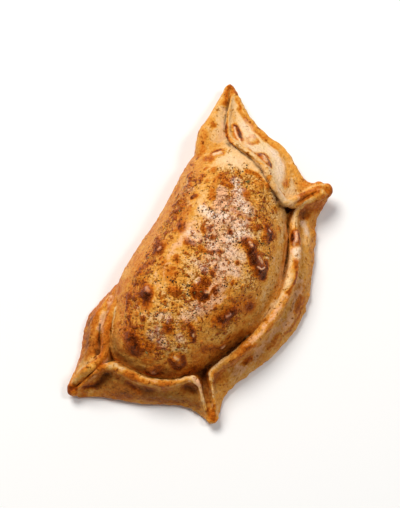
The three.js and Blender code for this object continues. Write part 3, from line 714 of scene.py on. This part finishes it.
def corners_of(piece):
    """The mesh's points in millimetres."""
    return values_of(piece, "co") / MM


def normals_of(piece):
    """The mesh's outward directions at its points."""
    return values_of(piece, "normal")


def move_corners(piece, points):
    """Puts the mesh's points at new places, in millimetres."""
    piece.data.vertices.foreach_set("co", (points * MM).astype(np.float32).ravel())
    piece.data.update()


def keep_field(piece, name, values):
    """Stores a number for each point of the mesh, for the materials."""
    field = piece.data.attributes.new(name, "FLOAT", "POINT")
    field.data.foreach_set("value", values.astype(np.float32))


def smooth_step(low, high, value):
    """0 below low, 1 above high, and an even curve between."""
    share = np.clip((value - low) / (high - low), 0, 1)
    return share * share * (3 - 2 * share)


def mottle(points, size, seed):
    """Even noise from -1 to 1 with blobs of that size in millimetres."""
    lattice = np.random.default_rng(seed).uniform(-1, 1, (32, 32, 32))
    place = points / size + 0.37 * seed
    cell = np.floor(place).astype(int)
    share = place - cell
    share = share * share * (3 - 2 * share)
    total = np.zeros(len(points))
    for step in np.ndindex(2, 2, 2):
        weight = 1
        for axis, far in enumerate(step):
            weight = weight * (share[:, axis] if far else 1 - share[:, axis])
        corner = (cell + step) % 32
        total += weight * lattice[corner[:, 0], corner[:, 1], corner[:, 2]]
    return total


def mottles(points, rows, further=0):
    """Sum of noises, each with its share, blob size and seed."""
    return sum(share * mottle(points, size, seed + further) for share, size, seed in rows)


def on_dough(x, y):
    """Place in the frame, in millimetres, that a pixel of the photograph shows.

    A pixel just past the outline takes the nearest one that the dough covers.
    """
    for step in range(OUTLINE_REACH):
        for turn in range(OUTLINE_TURNS if step else 1):
            angle = turn * 2 * math.pi / OUTLINE_TURNS
            across = x + step * math.cos(angle) - CENTRE_X
            above = CENTRE_Y - y - step * math.sin(angle)
            sight = RIGHT * across + UP * above - BACK * FOCAL_LENGTH
            place, *_ = DOUGH.ray_cast(AIM + BACK * CAMERA_DISTANCE, sight.normalized())
            if place is not None:
                return np.array([round(c, 1) for c in place * MM_PER_M])
    raise ValueError(f"the photograph shows no dough near pixel {x}, {y}")


def traced(line):
    """Places in the frame of a line of pixels."""
    return [on_dough(*pixel) for pixel in line]


def away_from(points, line):
    """Each point's distance from a traced line."""
    line = traced(line)
    if len(line) == 1:
        return np.linalg.norm(points - line[0], axis=1)
    nearest = np.full(len(points), np.inf)
    for a, b in zip(line, line[1:]):
        span = b - a
        share = np.clip((points - a) @ span / (span @ span), 0, 1)
        off = points - a - share[:, None] * span
        nearest = np.minimum(nearest, np.linalg.norm(off, axis=1))
    return nearest


def along_surface(points, outward, line):
    """Each point's distance from a traced line, height off the surface left out."""
    line = traced(line)
    nearest = np.full(len(points), np.inf)
    for a, b in zip(line, line[1:] or line):
        span = b - a
        share = np.clip((points - a) @ span / max(span @ span, 1e-9), 0, 1)
        off = points - a - share[:, None] * span
        height = np.einsum("ij,ij->i", off, outward)
        flat = np.einsum("ij,ij->i", off, off) - 0.9 * height ** 2
        nearest = np.minimum(nearest, np.sqrt(np.maximum(flat, 0)))
    return nearest


def hollowness(piece, points, outward, rounds):
    """How far each point lies below the average of its surroundings, in millimetres."""
    ends = np.empty(len(piece.data.edges) * 2, np.int32)
    piece.data.edges.foreach_get("vertices", ends)
    first, second = ends[0::2], ends[1::2]
    count = np.bincount(ends, minlength=len(points)).astype(float)
    even = points.copy()
    for _ in range(rounds):
        even = np.stack([
            (np.bincount(first, even[second, axis], len(points))
             + np.bincount(second, even[first, axis], len(points))) / count
            for axis in range(3)
        ], axis=1)
    return np.einsum("ij,ij->i", even - points, outward)


# --------------------------------------------------------------------------
# Settings

def length(name, millimetres, description):
    return bpy.props.FloatProperty(
        name=name, description=description, default=millimetres * MM, unit="LENGTH",
    )


def colour(name, code, description):
    return bpy.props.FloatVectorProperty(
        name=name, description=description, subtype="COLOR", size=4, default=linear(code),
    )


class CrustSettings(bpy.types.PropertyGroup):
    mesh_step: length("Mesh step", 0.45, "Width of one face of the crust")
    unevenness: length("Unevenness", 0.45, "How far the dough wanders from an even shape")
    raw: colour("Pale dough", "F6D6A4", "Dough that the heat has hardly reached")
    golden: colour("Golden", "E49F40", "Lightly baked dough")
    orange: colour("Orange", "C66812", "Well baked dough under the glaze")
    brown: colour("Brown", "8C3A06", "Browned dough")
    dark: colour("Dark brown", "3E1103", "Tops of the darkest blisters")
    pink: colour("Pinkish pale", "F2B688", "Pale dough stained by the seasoning")
    paprika: colour("Paprika stain", "A24616", "Dough stained by the paprika")
    # painted highlight: the whitish sheen of the light on the glazed dough
    painted_sheen: colour("Whitish glaze", "FFE0C6", "Places where the glaze dried almost white")
    # painted shade: a brownish darkening of the walls and hollows that face away from the light
    painted_shade_colour: colour("Dull dough", "80562A", "Dough that the heat of the top did not reach")
    # dark juices and painted shade in the seams
    juice_and_shade: colour("Seam juice", "3A1A0A", "Dark juices in the seams")


class SprinkleSettings(bpy.types.PropertyGroup):
    pepper_size: length("Pepper size", 1.0, "Width of a middling piece of cracked pepper")
    paprika_size: length("Paprika size", 1.0, "Width of a middling paprika flake")
    herb_size: length("Herb size", 1.6, "Length of a middling herb flake")
    pepper_dark: colour("Pepper, dark", "20130B", "Skin of the peppercorns")
    pepper_light: colour("Pepper, light", "60422A", "Broken sides of the peppercorns")
    paprika_dark: colour("Paprika, dark", "6E2A12", "Darkest paprika flakes")
    paprika_light: colour("Paprika, light", "B4643A", "Lightest paprika flakes")
    herb_dark: colour("Herbs, dark", "574A20", "Darkest herb flakes")
    herb_light: colour("Herbs, light", "8E7C46", "Lightest herb flakes")


class StageSettings(bpy.types.PropertyGroup):
    floor: colour("Floor", "F8F8F8", "Colour of the floor")
    key_power: bpy.props.FloatProperty(
        name="Key light", description="Power of the large soft light",
        default=30.0, unit="POWER",
    )


# --------------------------------------------------------------------------
# Crust

def crust_material(look):
    """Wheat dough, baked and glazed: golden to dark brown in small uneven spots, shiny on the
    blisters, pinkish on the dome with whitish painted highlights, painted shade low on the walls
    and in the hollows, and dark juices with painted shade in the seams"""
    material, node = blank_material("baked_wheat_dough_glazed")
    place = node("TexCoord", output="Object")
    toast, pale, grey, season, gloss, seam, white = (
        node("Attribute", attribute_name=name, output="Fac") for name in FIELDS
    )
    noise = {
        name: node("TexNoise", {
            "Vector": place, "Scale": 1 / (width * MM), "Detail": detail,
            "Roughness": roughness, "Distortion": distortion,
        })
        for name, (width, detail, roughness, distortion) in TEXTURES.items()
    }
    wide, coarse, fine = (
        node("Math.SUBTRACT", (noise[name], 0.5)) for name in ("wide", "coarse", "fine")
    )

    # browning: the oven's marks, broken up at the width of the dough's small bubbles
    wide_share, coarse_share, fine_share = 0.3, 0.33, 0.36
    by_toast, by_grey, least = 1.6, 0.6, 0.5
    strength = node("Math.MULTIPLY_ADD", (toast, by_toast, least))
    strength = node("Math.MULTIPLY_ADD", (grey, by_grey, strength))
    broken = node("Math.ADD", (
        node("Math.MULTIPLY", (coarse, coarse_share)), node("Math.MULTIPLY", (fine, fine_share)),
    ))
    broken = node("Math.MULTIPLY_ADD", (wide, wide_share, broken))
    browned = node("Math.MULTIPLY_ADD", (broken, strength, toast))

    # small browned bubbles, thick where the seasoning lies
    swirl = noise["swirl"].node.outputs["Color"]

    def freckles(width, open_share, thick_share):
        """Spots of unlike size, about one in every cell of that width in millimetres."""
        bend, crisp = 1.1 * MM, 4.5
        bent = node("VectorMath.MULTIPLY_ADD", (swirl, (bend,) * 3, place))
        off = node("TexVoronoi", {"Vector": bent, "Scale": 1 / (width * MM)}, "Distance")
        red = node("SeparateColor", (off.node.outputs["Color"],), "Red")
        limit = node("Math.MULTIPLY_ADD", (season, thick_share, open_share - 1.0))
        radius = node("Math.ADD", (red, limit))
        spot = node("Math.MULTIPLY", (node("Math.SUBTRACT", (radius, off)), crisp))
        return node("Clamp", (spot,)), red.node.outputs["Green"]

    def patches(name, limit, thick, crisp):
        """Irregular spots with a clear edge, where a noise passes the limit."""
        least = node("Math.MULTIPLY_ADD", (season, -thick, limit))
        spot = node("Math.MULTIPLY", (node("Math.SUBTRACT", (noise[name], least)), crisp))
        return node("Clamp", (spot,))

    stains = patches("stains", limit=0.58, thick=0.07, crisp=5)
    bubbles = patches("bubbles", limit=0.62, thick=0.08, crisp=11)
    specks = patches("specks", limit=0.64, thick=0.1, crisp=12)
    crumbs, crumb_kind = freckles(width=1.25, open_share=0.1, thick_share=0.54)
    pores, pore_kind = freckles(width=0.95, open_share=0.3, thick_share=0.1)
    spots = 0.0
    for spot, level in (
        (bubbles, 0.34),
        (specks, 0.2),
        (crumbs, node("Math.MULTIPLY", (crumb_kind, 0.56))),
        (stains, node("Math.MULTIPLY", (season, 0.18))),
    ):
        spot = node("Math.MULTIPLY", (spot, level))
        spots = node("Math.MAXIMUM", (spots, spot))
    left = node("Math.SUBTRACT", (1.0, browned))
    browned = node("Math.MULTIPLY_ADD", (spots, left, browned))
    skin = node("ValToRGB", (browned,), stops=(
        (0.05, look.raw), (0.32, look.golden), (0.52, look.orange),
        (0.72, look.brown), (0.95, look.dark),
    ))

    # pinkish pale dough between the browned spots
    by_pale, by_browned, by_coarse = 1.6, -1.3, -1.5
    pink_share = node("Math.MULTIPLY_ADD", (
        browned, by_browned, node("Math.MULTIPLY", (pale, by_pale)),
    ))
    pink_share = node("Math.ADD", (pink_share, node("Math.MULTIPLY", (coarse, by_coarse))))
    pink_share = node("MapRange", {"Value": pink_share, "From Min": 0.1, "From Max": 0.55})

    # red of the paprika soaked into some of the spots
    soaked_kind, soaked_bubbles, soaked_season = 0.45, 0.7, 0.7
    soaked = node("Math.MULTIPLY", (
        crumbs, node("Math.GREATER_THAN", (crumb_kind, soaked_kind)),
    ))
    soaked = node("Math.MAXIMUM", (soaked, node("Math.MULTIPLY", (bubbles, soaked_bubbles))))
    red_share = node("Math.MULTIPLY", (
        soaked, node("Math.MULTIPLY", (season, soaked_season)),
    ))

    # painted highlights: a whitish sheen, broken up by the specks
    by_fine, cover, under_spots = 4.5, 0.85, -0.85
    white_share = node("Math.MULTIPLY", (
        white, node("Math.MULTIPLY_ADD", (fine, by_fine, cover)),
    ))
    open_share = node("Math.MULTIPLY_ADD", (
        node("Math.MAXIMUM", (crumbs, bubbles)), under_spots, 1.0,
    ))
    white_share = node("Clamp", (node("Math.MULTIPLY", (white_share, open_share)),))

    # fine pores, a little darker than the dough, most of them under the seasoning
    by_kind, least_dark, by_season, least_season = 0.26, 0.1, 0.6, 0.4
    pore_share = node("Math.MULTIPLY", (
        pores, node("Math.MULTIPLY_ADD", (pore_kind, by_kind, least_dark)),
    ))
    pore_share = node("Math.MULTIPLY", (
        pore_share, node("Math.MULTIPLY_ADD", (season, by_season, least_season)),
    ))
    # painted shade low on the walls, under the rolls and in the wide hollows, and dark juices with
    # painted shade in the seams
    most_painted_shade, most_juice_and_shade = 0.62, 0.92
    painted_shade_share = node("Math.MULTIPLY", (grey, most_painted_shade))
    seam_share = node("MapRange", {"Value": seam, "To Max": most_juice_and_shade})
    for share, layer in (
        (pink_share, look.pink), (red_share, look.paprika), (white_share, look.painted_sheen),
        (pore_share, look.dark), (painted_shade_share, look.painted_shade_colour), (seam_share, look.juice_and_shade),
    ):
        # the sockets of the colour kind: 0 share, 6 below, 7 above, output 2
        skin = node("Mix", {0: share, 6: skin, 7: layer}, 2, data_type="RGBA")

    # relief too fine for the mesh: rough skin, raised spots and sunken pores
    skin_height, grit_height, relief_height = 0.95, 0.2, 0.9 * MM
    relief = node("Math.ADD", (
        node("Math.MULTIPLY", (noise["skin"], skin_height)),
        node("Math.MULTIPLY", (noise["grit"], grit_height)),
    ))
    for spot, height in ((bubbles, 0.75), (crumbs, 0.75), (specks, 0.3), (pores, -0.35)):
        relief = node("Math.MULTIPLY_ADD", (spot, height, relief))
    bump = node("Bump", {"Strength": 1.0, "Distance": relief_height, "Height": relief})
    dull_roughness, glazed_roughness = 0.55, 0.19
    roughness = node("MapRange", {
        "Value": gloss, "To Min": dull_roughness, "To Max": glazed_roughness,
    })
    shader = node("BsdfPrincipled", {
        "Base Color": skin, "Roughness": roughness, "Normal": bump,
        "IOR": 1.45, "Specular IOR Level": 0.4, "Specular Tint": linear("FFA860"),
    })
    node("OutputMaterial", {"Surface": shader})
    return material


def crust_shell(solid, step):
    """A fine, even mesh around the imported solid, with few faces underneath."""
    select_only(solid)
    bpy.ops.object.duplicate()
    crust = bpy.context.object
    crust.name = crust.data.name = "crust"
    crust.parent = None
    del crust["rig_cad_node"]
    del crust["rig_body"]
    crust.data.materials.clear()
    bpy.ops.object.mode_set(mode="EDIT")
    bpy.ops.mesh.select_all(action="SELECT")
    bpy.ops.mesh.remove_doubles(threshold=0.001 * MM)
    bpy.ops.mesh.normals_make_consistent(inside=False)
    bpy.ops.object.mode_set(mode="OBJECT")
    finish_with(crust, "REMESH", mode="VOXEL", voxel_size=step, use_smooth_shade=True)
    low = corners_of(crust)[:, 2] < UNDERSIDE_HEIGHT
    crust.data.vertices.foreach_set("select", low)
    bpy.ops.object.mode_set(mode="EDIT")
    bpy.ops.mesh.select_mode(type="VERT")
    bpy.ops.mesh.select_less()
    bpy.ops.mesh.decimate(ratio=UNDERSIDE_FACES)
    bpy.ops.object.mode_set(mode="OBJECT")
    return crust


def fold_dough(crust):
    """Rounds the dough and its tips, pulls the edges into place and presses the folds."""
    for low, high, rounds in SOFT_BANDS:
        soften(crust, smooth_step(low, high, corners_of(crust)[:, 2]), rounds)
    points = corners_of(crust)
    near = np.zeros(len(points))
    for _, radius, *line in SOFTENED:
        near = np.maximum(near, np.exp(-(away_from(points, line) / radius) ** 4))
    soften(crust, near * (near > 0.01), TIP_ROUNDS)

    points, outward = corners_of(crust), normals_of(crust)
    lifted = smooth_step(*LIFTED, points[:, 2])
    shifts, total = np.zeros_like(points), np.zeros(len(points))
    for _, radius, (across, down), *line in PULLS:
        shift = (RIGHT * across - UP * down) * PIXEL
        near = np.exp(-(away_from(points, line) / radius) ** 2)
        shifts += near[:, None] * np.array([round(c, 2) for c in shift])
        total += near
    points += shifts * (lifted / np.maximum(total, 1))[:, None]
    fold = np.zeros(len(points))
    for _, radius, height, *line in FOLDS:
        fold += height * np.exp(-(along_surface(points, outward, line) / radius) ** 2)
    points += outward * (fold * lifted)[:, None]
    move_corners(crust, points)
    return points, lifted


def zone_levels(warped):
    """Levels of the wide zones at each point."""
    levels = {}
    for name, rows in ZONES.items():
        common = COMMON_TOAST if name == "toast" else 0.0
        total = np.full(len(warped), COMMON_WEIGHT * common)
        weight = np.full(len(warped), COMMON_WEIGHT)
        for _, radius, level, *line in rows:
            near = np.exp(-(away_from(warped, line) / radius) ** 2 * ZONE_FALL)
            total += near * level
            weight += near
        levels[name] = total / weight if name == "toast" else np.clip(total, 0, 1)
    return levels


def add_bubbles(skin, warped, likely):
    """Small bubbles of the dough, most of them under the seasoning."""
    tree = KDTree(len(warped))
    for k, point in enumerate(warped):
        tree.insert(point, k)
    tree.balance()
    chance = np.random.default_rng(BUBBLE_SEED)
    least, shape, scale = BUBBLE_RADIUS
    for k in chance.choice(len(warped), BUBBLES, replace=False, p=likely / likely.sum()):
        radius = least + chance.gamma(shape, scale)
        level = chance.uniform(*BUBBLE_TOAST)
        height = chance.uniform(*BUBBLE_HEIGHT) * radius
        found = tree.find_range(warped[k], radius * BUBBLE_REACH)
        at = np.array([index for _, index, _ in found])
        off = np.array([distance for _, _, distance in found])
        near = 1 - smooth_step(*BUBBLE_EDGE, off / radius)
        skin.toast[at] += (level - skin.toast[at]) * near * BUBBLE_COVER
        skin.rise[at] += height * near
        skin.gloss[at] += (1.0 - skin.gloss[at]) * near * BUBBLE_GLOSS


def add_marks(skin, points, warped):
    """Strokes, stains, blisters and seams, each over the ones before."""

    def between(share):
        """Points that wander by a share of the full wander."""
        return points + share * (warped - points)

    def reach(line, radius, soft, around=warped):
        """1 on the line, 0 away from it, with a soft edge at the radius."""
        return 1 - smooth_step(1 - soft, 1 + soft, away_from(around, line) / radius)

    for _, radius, level, *line in STROKES:
        near = reach(line, radius, STROKE_SOFT)
        skin.toast += (level - skin.toast) * near * STROKE_COVER
        skin.pale *= 1 - near
    for _, radius, amount, *line in PINKS:
        near = reach(line, radius, PINK_SOFT)
        skin.pale += (amount - skin.pale) * near
        skin.toast += (PINK_TOAST - skin.toast) * near * STROKE_COVER
    # painted highlights
    for _, radius, amount, *line in SHEENS:
        skin.white = np.maximum(skin.white, amount * reach(line, radius, SHEEN_SOFT))
    skin.toast -= SHEEN_FADE * skin.white * np.maximum(skin.toast - SHEEN_TOAST, 0)
    for _, radius, level, height, *line in BLISTERS:
        off = away_from(between(BLISTER_WANDER), line) / radius
        core = 1 - smooth_step(*BLISTER_CORE, off)
        width = min(HALO_WIDTH, HALO_SHARE * radius)
        halo = 1 - smooth_step(0, width, (off - HALO_START) * radius)
        skin.toast += np.maximum(0, HALO_TOAST - skin.toast) * halo * HALO_COVER
        skin.toast += (level - skin.toast) * core
        skin.season *= 1 - BLISTER_CLEARS * core
        skin.grey *= 1 - BLISTER_CLEARS * core
        skin.pale *= 1 - halo
        skin.white *= 1 - halo
        skin.gloss += (1.0 - skin.gloss) * core
        dome = 1 - smooth_step(*BLISTER_DOME, away_from(points, line) / radius)
        skin.rise += BLISTER_LIFT * height * dome
    for _, radius, level, *line in DARKS:
        near = reach(line, radius, DARK_SOFT, between(DARK_WANDER))
        skin.toast += (level - skin.toast) * near
        skin.grey *= 1 - near
    # painted highlights on the blisters, which also clear the seams
    painted_glints = np.zeros(len(points))
    for _, radius, amount, *line in GLINTS:
        near = reach(line, radius * GLINT_SIZE, GLINT_SOFT, points) * amount * GLINT_COVER
        skin.toast += (GLINT_TOAST - skin.toast) * near
        skin.white += (GLINT_WHITE - skin.white) * near
        skin.gloss += (1.0 - skin.gloss) * near
        skin.rise += GLINT_LIFT * near
        painted_glints = np.maximum(painted_glints, near)
    for _, radius, level, *line in RINGS:
        off = away_from(warped, line) / radius
        rim = np.exp(-((off - RING_PLACE) / RING_WIDTH) ** 2)
        skin.toast += (level - skin.toast) * rim
        skin.rise += RING_LIFT * np.exp(-(off / RING_DOME) ** 2)
    for _, radius, amount, *line in SEAMS:
        skin.seam += (amount - skin.seam) * reach(line, radius, SEAM_SOFT)
    skin.seam *= 1 - painted_glints


def bake(crust, points, outward, lifted, unevenness):
    """How far each point rises, and the fields that the material reads."""
    narrow = hollowness(crust, points, outward, GROOVE_ROUNDS)
    wide = hollowness(crust, points, outward, HOLLOW_ROUNDS)
    height = points[:, 2]
    # wander of every edge, so that no mark is round
    warped = points + np.stack([mottles(points, WANDER, axis) for axis in range(3)], axis=1)
    skin = SimpleNamespace(**zone_levels(warped))

    bare = np.zeros(len(points))
    for _, radius, *line in BARE:
        off = away_from(points + BARE_WANDER * (warped - points), line) / radius
        bare = np.maximum(bare, 1 - smooth_step(*BARE_EDGE, off))
    skin.season = smooth_step(*SEASON_EDGE, skin.season) * (1 - bare)
    skin.toast = np.where(height < UNDERSIDE_EDGE, UNDERSIDE_TOAST, skin.toast)
    skin.gloss = GLOSS + SEASONED_GLOSS * skin.season
    skin.white = np.zeros(len(points))
    # dark juices and painted shade in the narrow grooves
    skin.seam = SEAM_JUICE_AND_SHADE * smooth_step(*NARROW_GROOVE, narrow) * lifted
    # painted shade in the wide hollows
    hollow = HOLLOW_SHADE * smooth_step(*WIDE_HOLLOW, wide) * lifted * (1 - bare)
    skin.grey = np.maximum(skin.grey, hollow)

    skin.rise = unevenness * mottles(points, DOUGH_NOISE) * (1 - BARE_CALM * bare)
    skin.rise += skin.season * mottles(points, SEASONED_NOISE)
    low = (1 - smooth_step(*WALL_TOP, height)) * (1 - BARE_WALL_CALM * bare)
    skin.rise += low * mottles(points, WALL_NOISE)
    foot = FOOT_RELIEF * (1 - smooth_step(*FOOT_TOP, height))
    skin.rise += foot * mottles(points, FOOT_NOISE)

    likely = (BUBBLE_LIKELY + skin.season) * (outward[:, 2] > BUBBLE_SLOPE) * (bare < 0.01)
    add_bubbles(skin, warped, likely * (height > BUBBLE_FOOT))
    add_marks(skin, points, warped)
    return skin


class EMPANADA_OT_crust(bpy.types.Operator):
    """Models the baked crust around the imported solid"""
    bl_idname = "empanada.crust"
    bl_label = "Crust"

    def execute(self, context):
        settings = context.scene.empanada_crust
        crust = crust_shell(PACKED, settings.mesh_step)
        points, lifted = fold_dough(crust)
        outward = normals_of(crust)
        skin = bake(crust, points, outward, lifted, settings.unevenness * MM_PER_M)
        move_corners(crust, points + outward * (skin.rise * lifted)[:, None])
        for name in FIELDS:
            keep_field(crust, name, getattr(skin, name))
        count = sum(len(face.vertices) - 2 for face in crust.data.polygons)
        finish_with(crust, "DECIMATE", ratio=min(1.0, CRUST_TRIANGLES / count))
        crust.data.materials.append(crust_material(settings))
        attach(crust, "root")
        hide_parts("empanada")
        return {"FINISHED"}


# --------------------------------------------------------------------------
# Sprinkles

PEPPER_COUNT, PAPRIKA_COUNT, HERB_COUNT = 220, 900, 24
MODELS = 5                  # unlike grains of each kind
GRAIN_SCALE = 1.7           # size of a single grain or flake over its mark's radius
SPRINKLE_SEED = 41


def grain_models(size, shape, rough, seed):
    """Corners of a few unlike grains, and the faces that they share."""
    models = []
    for k in range(MODELS):
        bpy.ops.object.select_all(action="DESELECT")
        bpy.ops.mesh.primitive_ico_sphere_add(subdivisions=1, radius=size / 2)
        grain = bpy.context.object
        bpy.ops.object.mode_set(mode="EDIT")
        bpy.ops.mesh.select_all(action="SELECT")
        bpy.ops.transform.vertex_random(offset=size * rough, seed=seed + k)
        bpy.ops.transform.resize(value=shape)
        bpy.ops.object.mode_set(mode="OBJECT")
        models.append(corners_of(grain))
        faces = np.array([tuple(face.vertices) for face in grain.data.polygons])
        bpy.data.objects.remove(grain)
    return models, faces


def scatter(name, models, faces, places, directions, spins, sizes, sink):
    """One mesh of grains that lie on the crust, a little sunk into it."""
    points, polygons, tints = [], [], []
    chance = np.random.default_rng(len(places))
    for k, (place, up, spin, size) in enumerate(zip(places, directions, spins, sizes)):
        model = models[k % len(models)]
        turn = Vector((0, 0, 1)).rotation_difference(Vector(up)).to_matrix()
        turn = np.array(turn @ Matrix.Rotation(spin, 3, "Z"))
        height = np.abs(model[:, 2]).max() * size
        points.append(model * size @ turn.T + place + up * height * (1 - 2 * sink))
        polygons.append(faces + k * len(model))
        tints.append(np.full(len(model), chance.random()))
    mesh = bpy.data.meshes.new(name)
    corners = (np.concatenate(points) * MM).tolist()
    mesh.from_pydata(corners, [], np.concatenate(polygons).tolist())
    piece = bpy.data.objects.new(name, mesh)
    bpy.context.collection.objects.link(piece)
    keep_field(piece, "tint", np.concatenate(tints))
    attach(piece, "root")
    return piece


def grain_material(name, roughness, stops):
    """Dry ground spice: matte, and a little lighter or darker from grain to grain"""
    material, node = blank_material(name)
    tint = node("Attribute", attribute_name="tint", output="Fac")
    shader = node("BsdfPrincipled", {
        "Base Color": node("ValToRGB", (tint,), stops=stops),
        "Roughness": roughness, "IOR": 1.45, "Specular IOR Level": 0.12,
    })
    node("OutputMaterial", {"Surface": shader})
    return material


class EMPANADA_OT_sprinkles(bpy.types.Operator):
    """Scatters cracked pepper, paprika and herb flecks over the dome"""
    bl_idname = "empanada.sprinkles"
    bl_label = "Sprinkles"

    def execute(self, context):
        look = context.scene.empanada_sprinkles
        crust = bpy.data.objects["crust"]
        points, outward = corners_of(crust), normals_of(crust)
        season = np.empty(len(points), np.float32)
        crust.data.attributes["season"].data.foreach_get("value", season)
        season = np.where(outward[:, 2] > 0.3, season, 0).astype(float)
        chance = np.random.default_rng(SPRINKLE_SEED)

        def spread(count, share):
            return list(chance.choice(len(points), count, replace=False, p=share / share.sum()))

        def nearest(place):
            return int(np.argmin(np.linalg.norm(points - place, axis=1)))

        def lay(name, picks, sizes, spins, sink, model, material):
            models, faces = grain_models(*model)
            piece = scatter(
                name, models, faces, points[picks], outward[picks], spins, sizes, sink,
            )
            piece.data.materials.append(grain_material(*material))

        def any_spins(count):
            return chance.uniform(0, 2 * math.pi, count)

        # cracked black pepper: almost black crumbs with paler broken sides
        picks = spread(PEPPER_COUNT, season ** 1.6)
        sizes = list(chance.lognormal(-0.66, 0.3, len(picks)))
        for _, radius, count, *line in CLUSTERS:
            picks += spread(count, np.exp(-(away_from(points, line) / radius) ** 2 * 1.5))
            sizes += list(chance.lognormal(-0.6, 0.32, count))
        for radius, pixel in GRAINS:
            picks.append(nearest(on_dough(*pixel)))
            sizes.append(radius * GRAIN_SCALE)
        lay(
            "pepper", picks, np.clip(sizes, 0.3, 0.95), any_spins(len(picks)), 0.3,
            (look.pepper_size, (1.0, 0.8, 0.65), 0.16, 7),
            ("cracked_black_pepper", 0.6, ((0.2, look.pepper_dark), (1.0, look.pepper_light))),
        )
        # ground paprika: rust-red flakes that lie flat
        picks = spread(PAPRIKA_COUNT, season ** 1.3)
        sizes = np.clip(chance.lognormal(-0.55, 0.32, len(picks)), 0.3, 1.3)
        lay(
            "paprika", picks, sizes, any_spins(len(picks)), 0.4,
            (look.paprika_size, (1.0, 0.8, 0.3), 0.14, 31),
            ("ground_paprika", 0.5, ((0.0, look.paprika_dark), (1.0, look.paprika_light))),
        )
        # dried oregano: long olive flakes
        picks = spread(HERB_COUNT, season ** 1.2)
        sizes = list(chance.uniform(0.6, 1.1, len(picks)))
        spins = list(any_spins(len(picks)))
        for _, radius, *line in HERBS:
            line = traced(line)
            picks.append(nearest(np.mean(line, axis=0)))
            sizes.append(radius * GRAIN_SCALE)
            run = line[-1] - line[0]
            spins.append(math.atan2(run[1], run[0]))
        lay(
            "herbs", picks, sizes, spins, 0.25,
            (look.herb_size, (1.0, 0.5, 0.16), 0.1, 53),
            ("dried_oregano", 0.6, ((0.0, look.herb_dark), (1.0, look.herb_light))),
        )
        return {"FINISHED"}


# --------------------------------------------------------------------------
# Stage

FLOOR_SIZE = 6.0
SENSOR_HEIGHT, LENS, CLIP_START = 36, 134.3, 0.01
LIGHT_DISTANCE = 1.8
FILL_SHARE = 0.27           # power of the fill light over the key light's
WORLD_STRENGTH = 0.2


class EMPANADA_OT_stage(bpy.types.Operator):
    """Adds the floor, the soft lights and the camera"""
    bl_idname = "empanada.stage"
    bl_label = "Stage"

    def execute(self, context):
        look = context.scene.empanada_stage
        bpy.ops.object.select_all(action="DESELECT")
        bpy.ops.mesh.primitive_plane_add(size=FLOOR_SIZE, location=(0, 0, 0))
        floor = context.object
        floor.name = floor.data.name = "floor"
        # painted board: white and matte, so that only the soft shadow shows
        material, node = blank_material("matte_white_board")
        shader = node("BsdfPrincipled", {"Base Color": look.floor, "Roughness": 0.9})
        node("OutputMaterial", {"Surface": shader})
        floor.data.materials.append(material)

        camera = bpy.data.objects.new("camera", bpy.data.cameras.new("camera"))
        context.collection.objects.link(camera)
        back, right = BACK.normalized(), RIGHT.normalized()
        up = back.cross(right)
        turn = Matrix((right, up, back)).transposed().to_4x4()
        turn.translation = AIM + back * CAMERA_DISTANCE
        camera.matrix_world = turn
        camera.data.sensor_fit = "VERTICAL"
        camera.data.sensor_height = SENSOR_HEIGHT
        camera.data.lens = LENS
        camera.data.clip_start = CLIP_START
        context.scene.camera = camera

        for name, direction, size, power, code in (
            ("key", (-0.45, 1.0, 0.95), 0.9, look.key_power, "FFFCF7"),
            ("fill", (0.5, 0.3, 0.86), 0.4, look.key_power * FILL_SHARE, "FFFFFF"),
        ):
            light = bpy.data.lights.new(name, "AREA")
            light.shape = "DISK"
            light.size = size
            light.energy = power
            light.color = linear(code)[:3]
            lamp = bpy.data.objects.new(name, light)
            context.collection.objects.link(lamp)
            towards = right * direction[0] + up * direction[1] + back * direction[2]
            towards.normalize()
            lamp.location = AIM + towards * LIGHT_DISTANCE
            lamp.rotation_euler = towards.to_track_quat("Z", "Y").to_euler()
        world = bpy.data.worlds.new("studio")
        world.use_nodes = True
        background = world.node_tree.nodes["Background"]
        background.inputs["Color"].default_value = (1, 1, 1, 1)
        background.inputs["Strength"].default_value = WORLD_STRENGTH
        context.scene.world = world
        context.scene.view_settings.view_transform = "Standard"
        return {"FINISHED"}


class EMPANADA_PT_panel(bpy.types.Panel):
    """Lists the pieces of the empanada"""
    bl_idname = "EMPANADA_PT_panel"
    bl_label = "Empanada"
    bl_space_type = "VIEW_3D"
    bl_region_type = "UI"
    bl_category = "Empanada"

    def draw(self, context):
        for piece in (EMPANADA_OT_crust, EMPANADA_OT_sprinkles, EMPANADA_OT_stage):
            self.layout.operator(piece.bl_idname)


CLASSES = (
    CrustSettings, SprinkleSettings, StageSettings,
    EMPANADA_OT_crust, EMPANADA_OT_sprinkles, EMPANADA_OT_stage, EMPANADA_PT_panel,
)


def register():
    for one in CLASSES:
        bpy.utils.register_class(one)
    bpy.types.Scene.empanada_crust = bpy.props.PointerProperty(type=CrustSettings)
    bpy.types.Scene.empanada_sprinkles = bpy.props.PointerProperty(type=SprinkleSettings)
    bpy.types.Scene.empanada_stage = bpy.props.PointerProperty(type=StageSettings)


def unregister():
    del bpy.types.Scene.empanada_stage
    del bpy.types.Scene.empanada_sprinkles
    del bpy.types.Scene.empanada_crust
    for one in reversed(CLASSES):
        bpy.utils.unregister_class(one)


def main():
    register()
    bpy.ops.empanada.crust()
    bpy.ops.empanada.sprinkles()
    bpy.ops.empanada.stage()


if __name__ == "__main__":
    main()
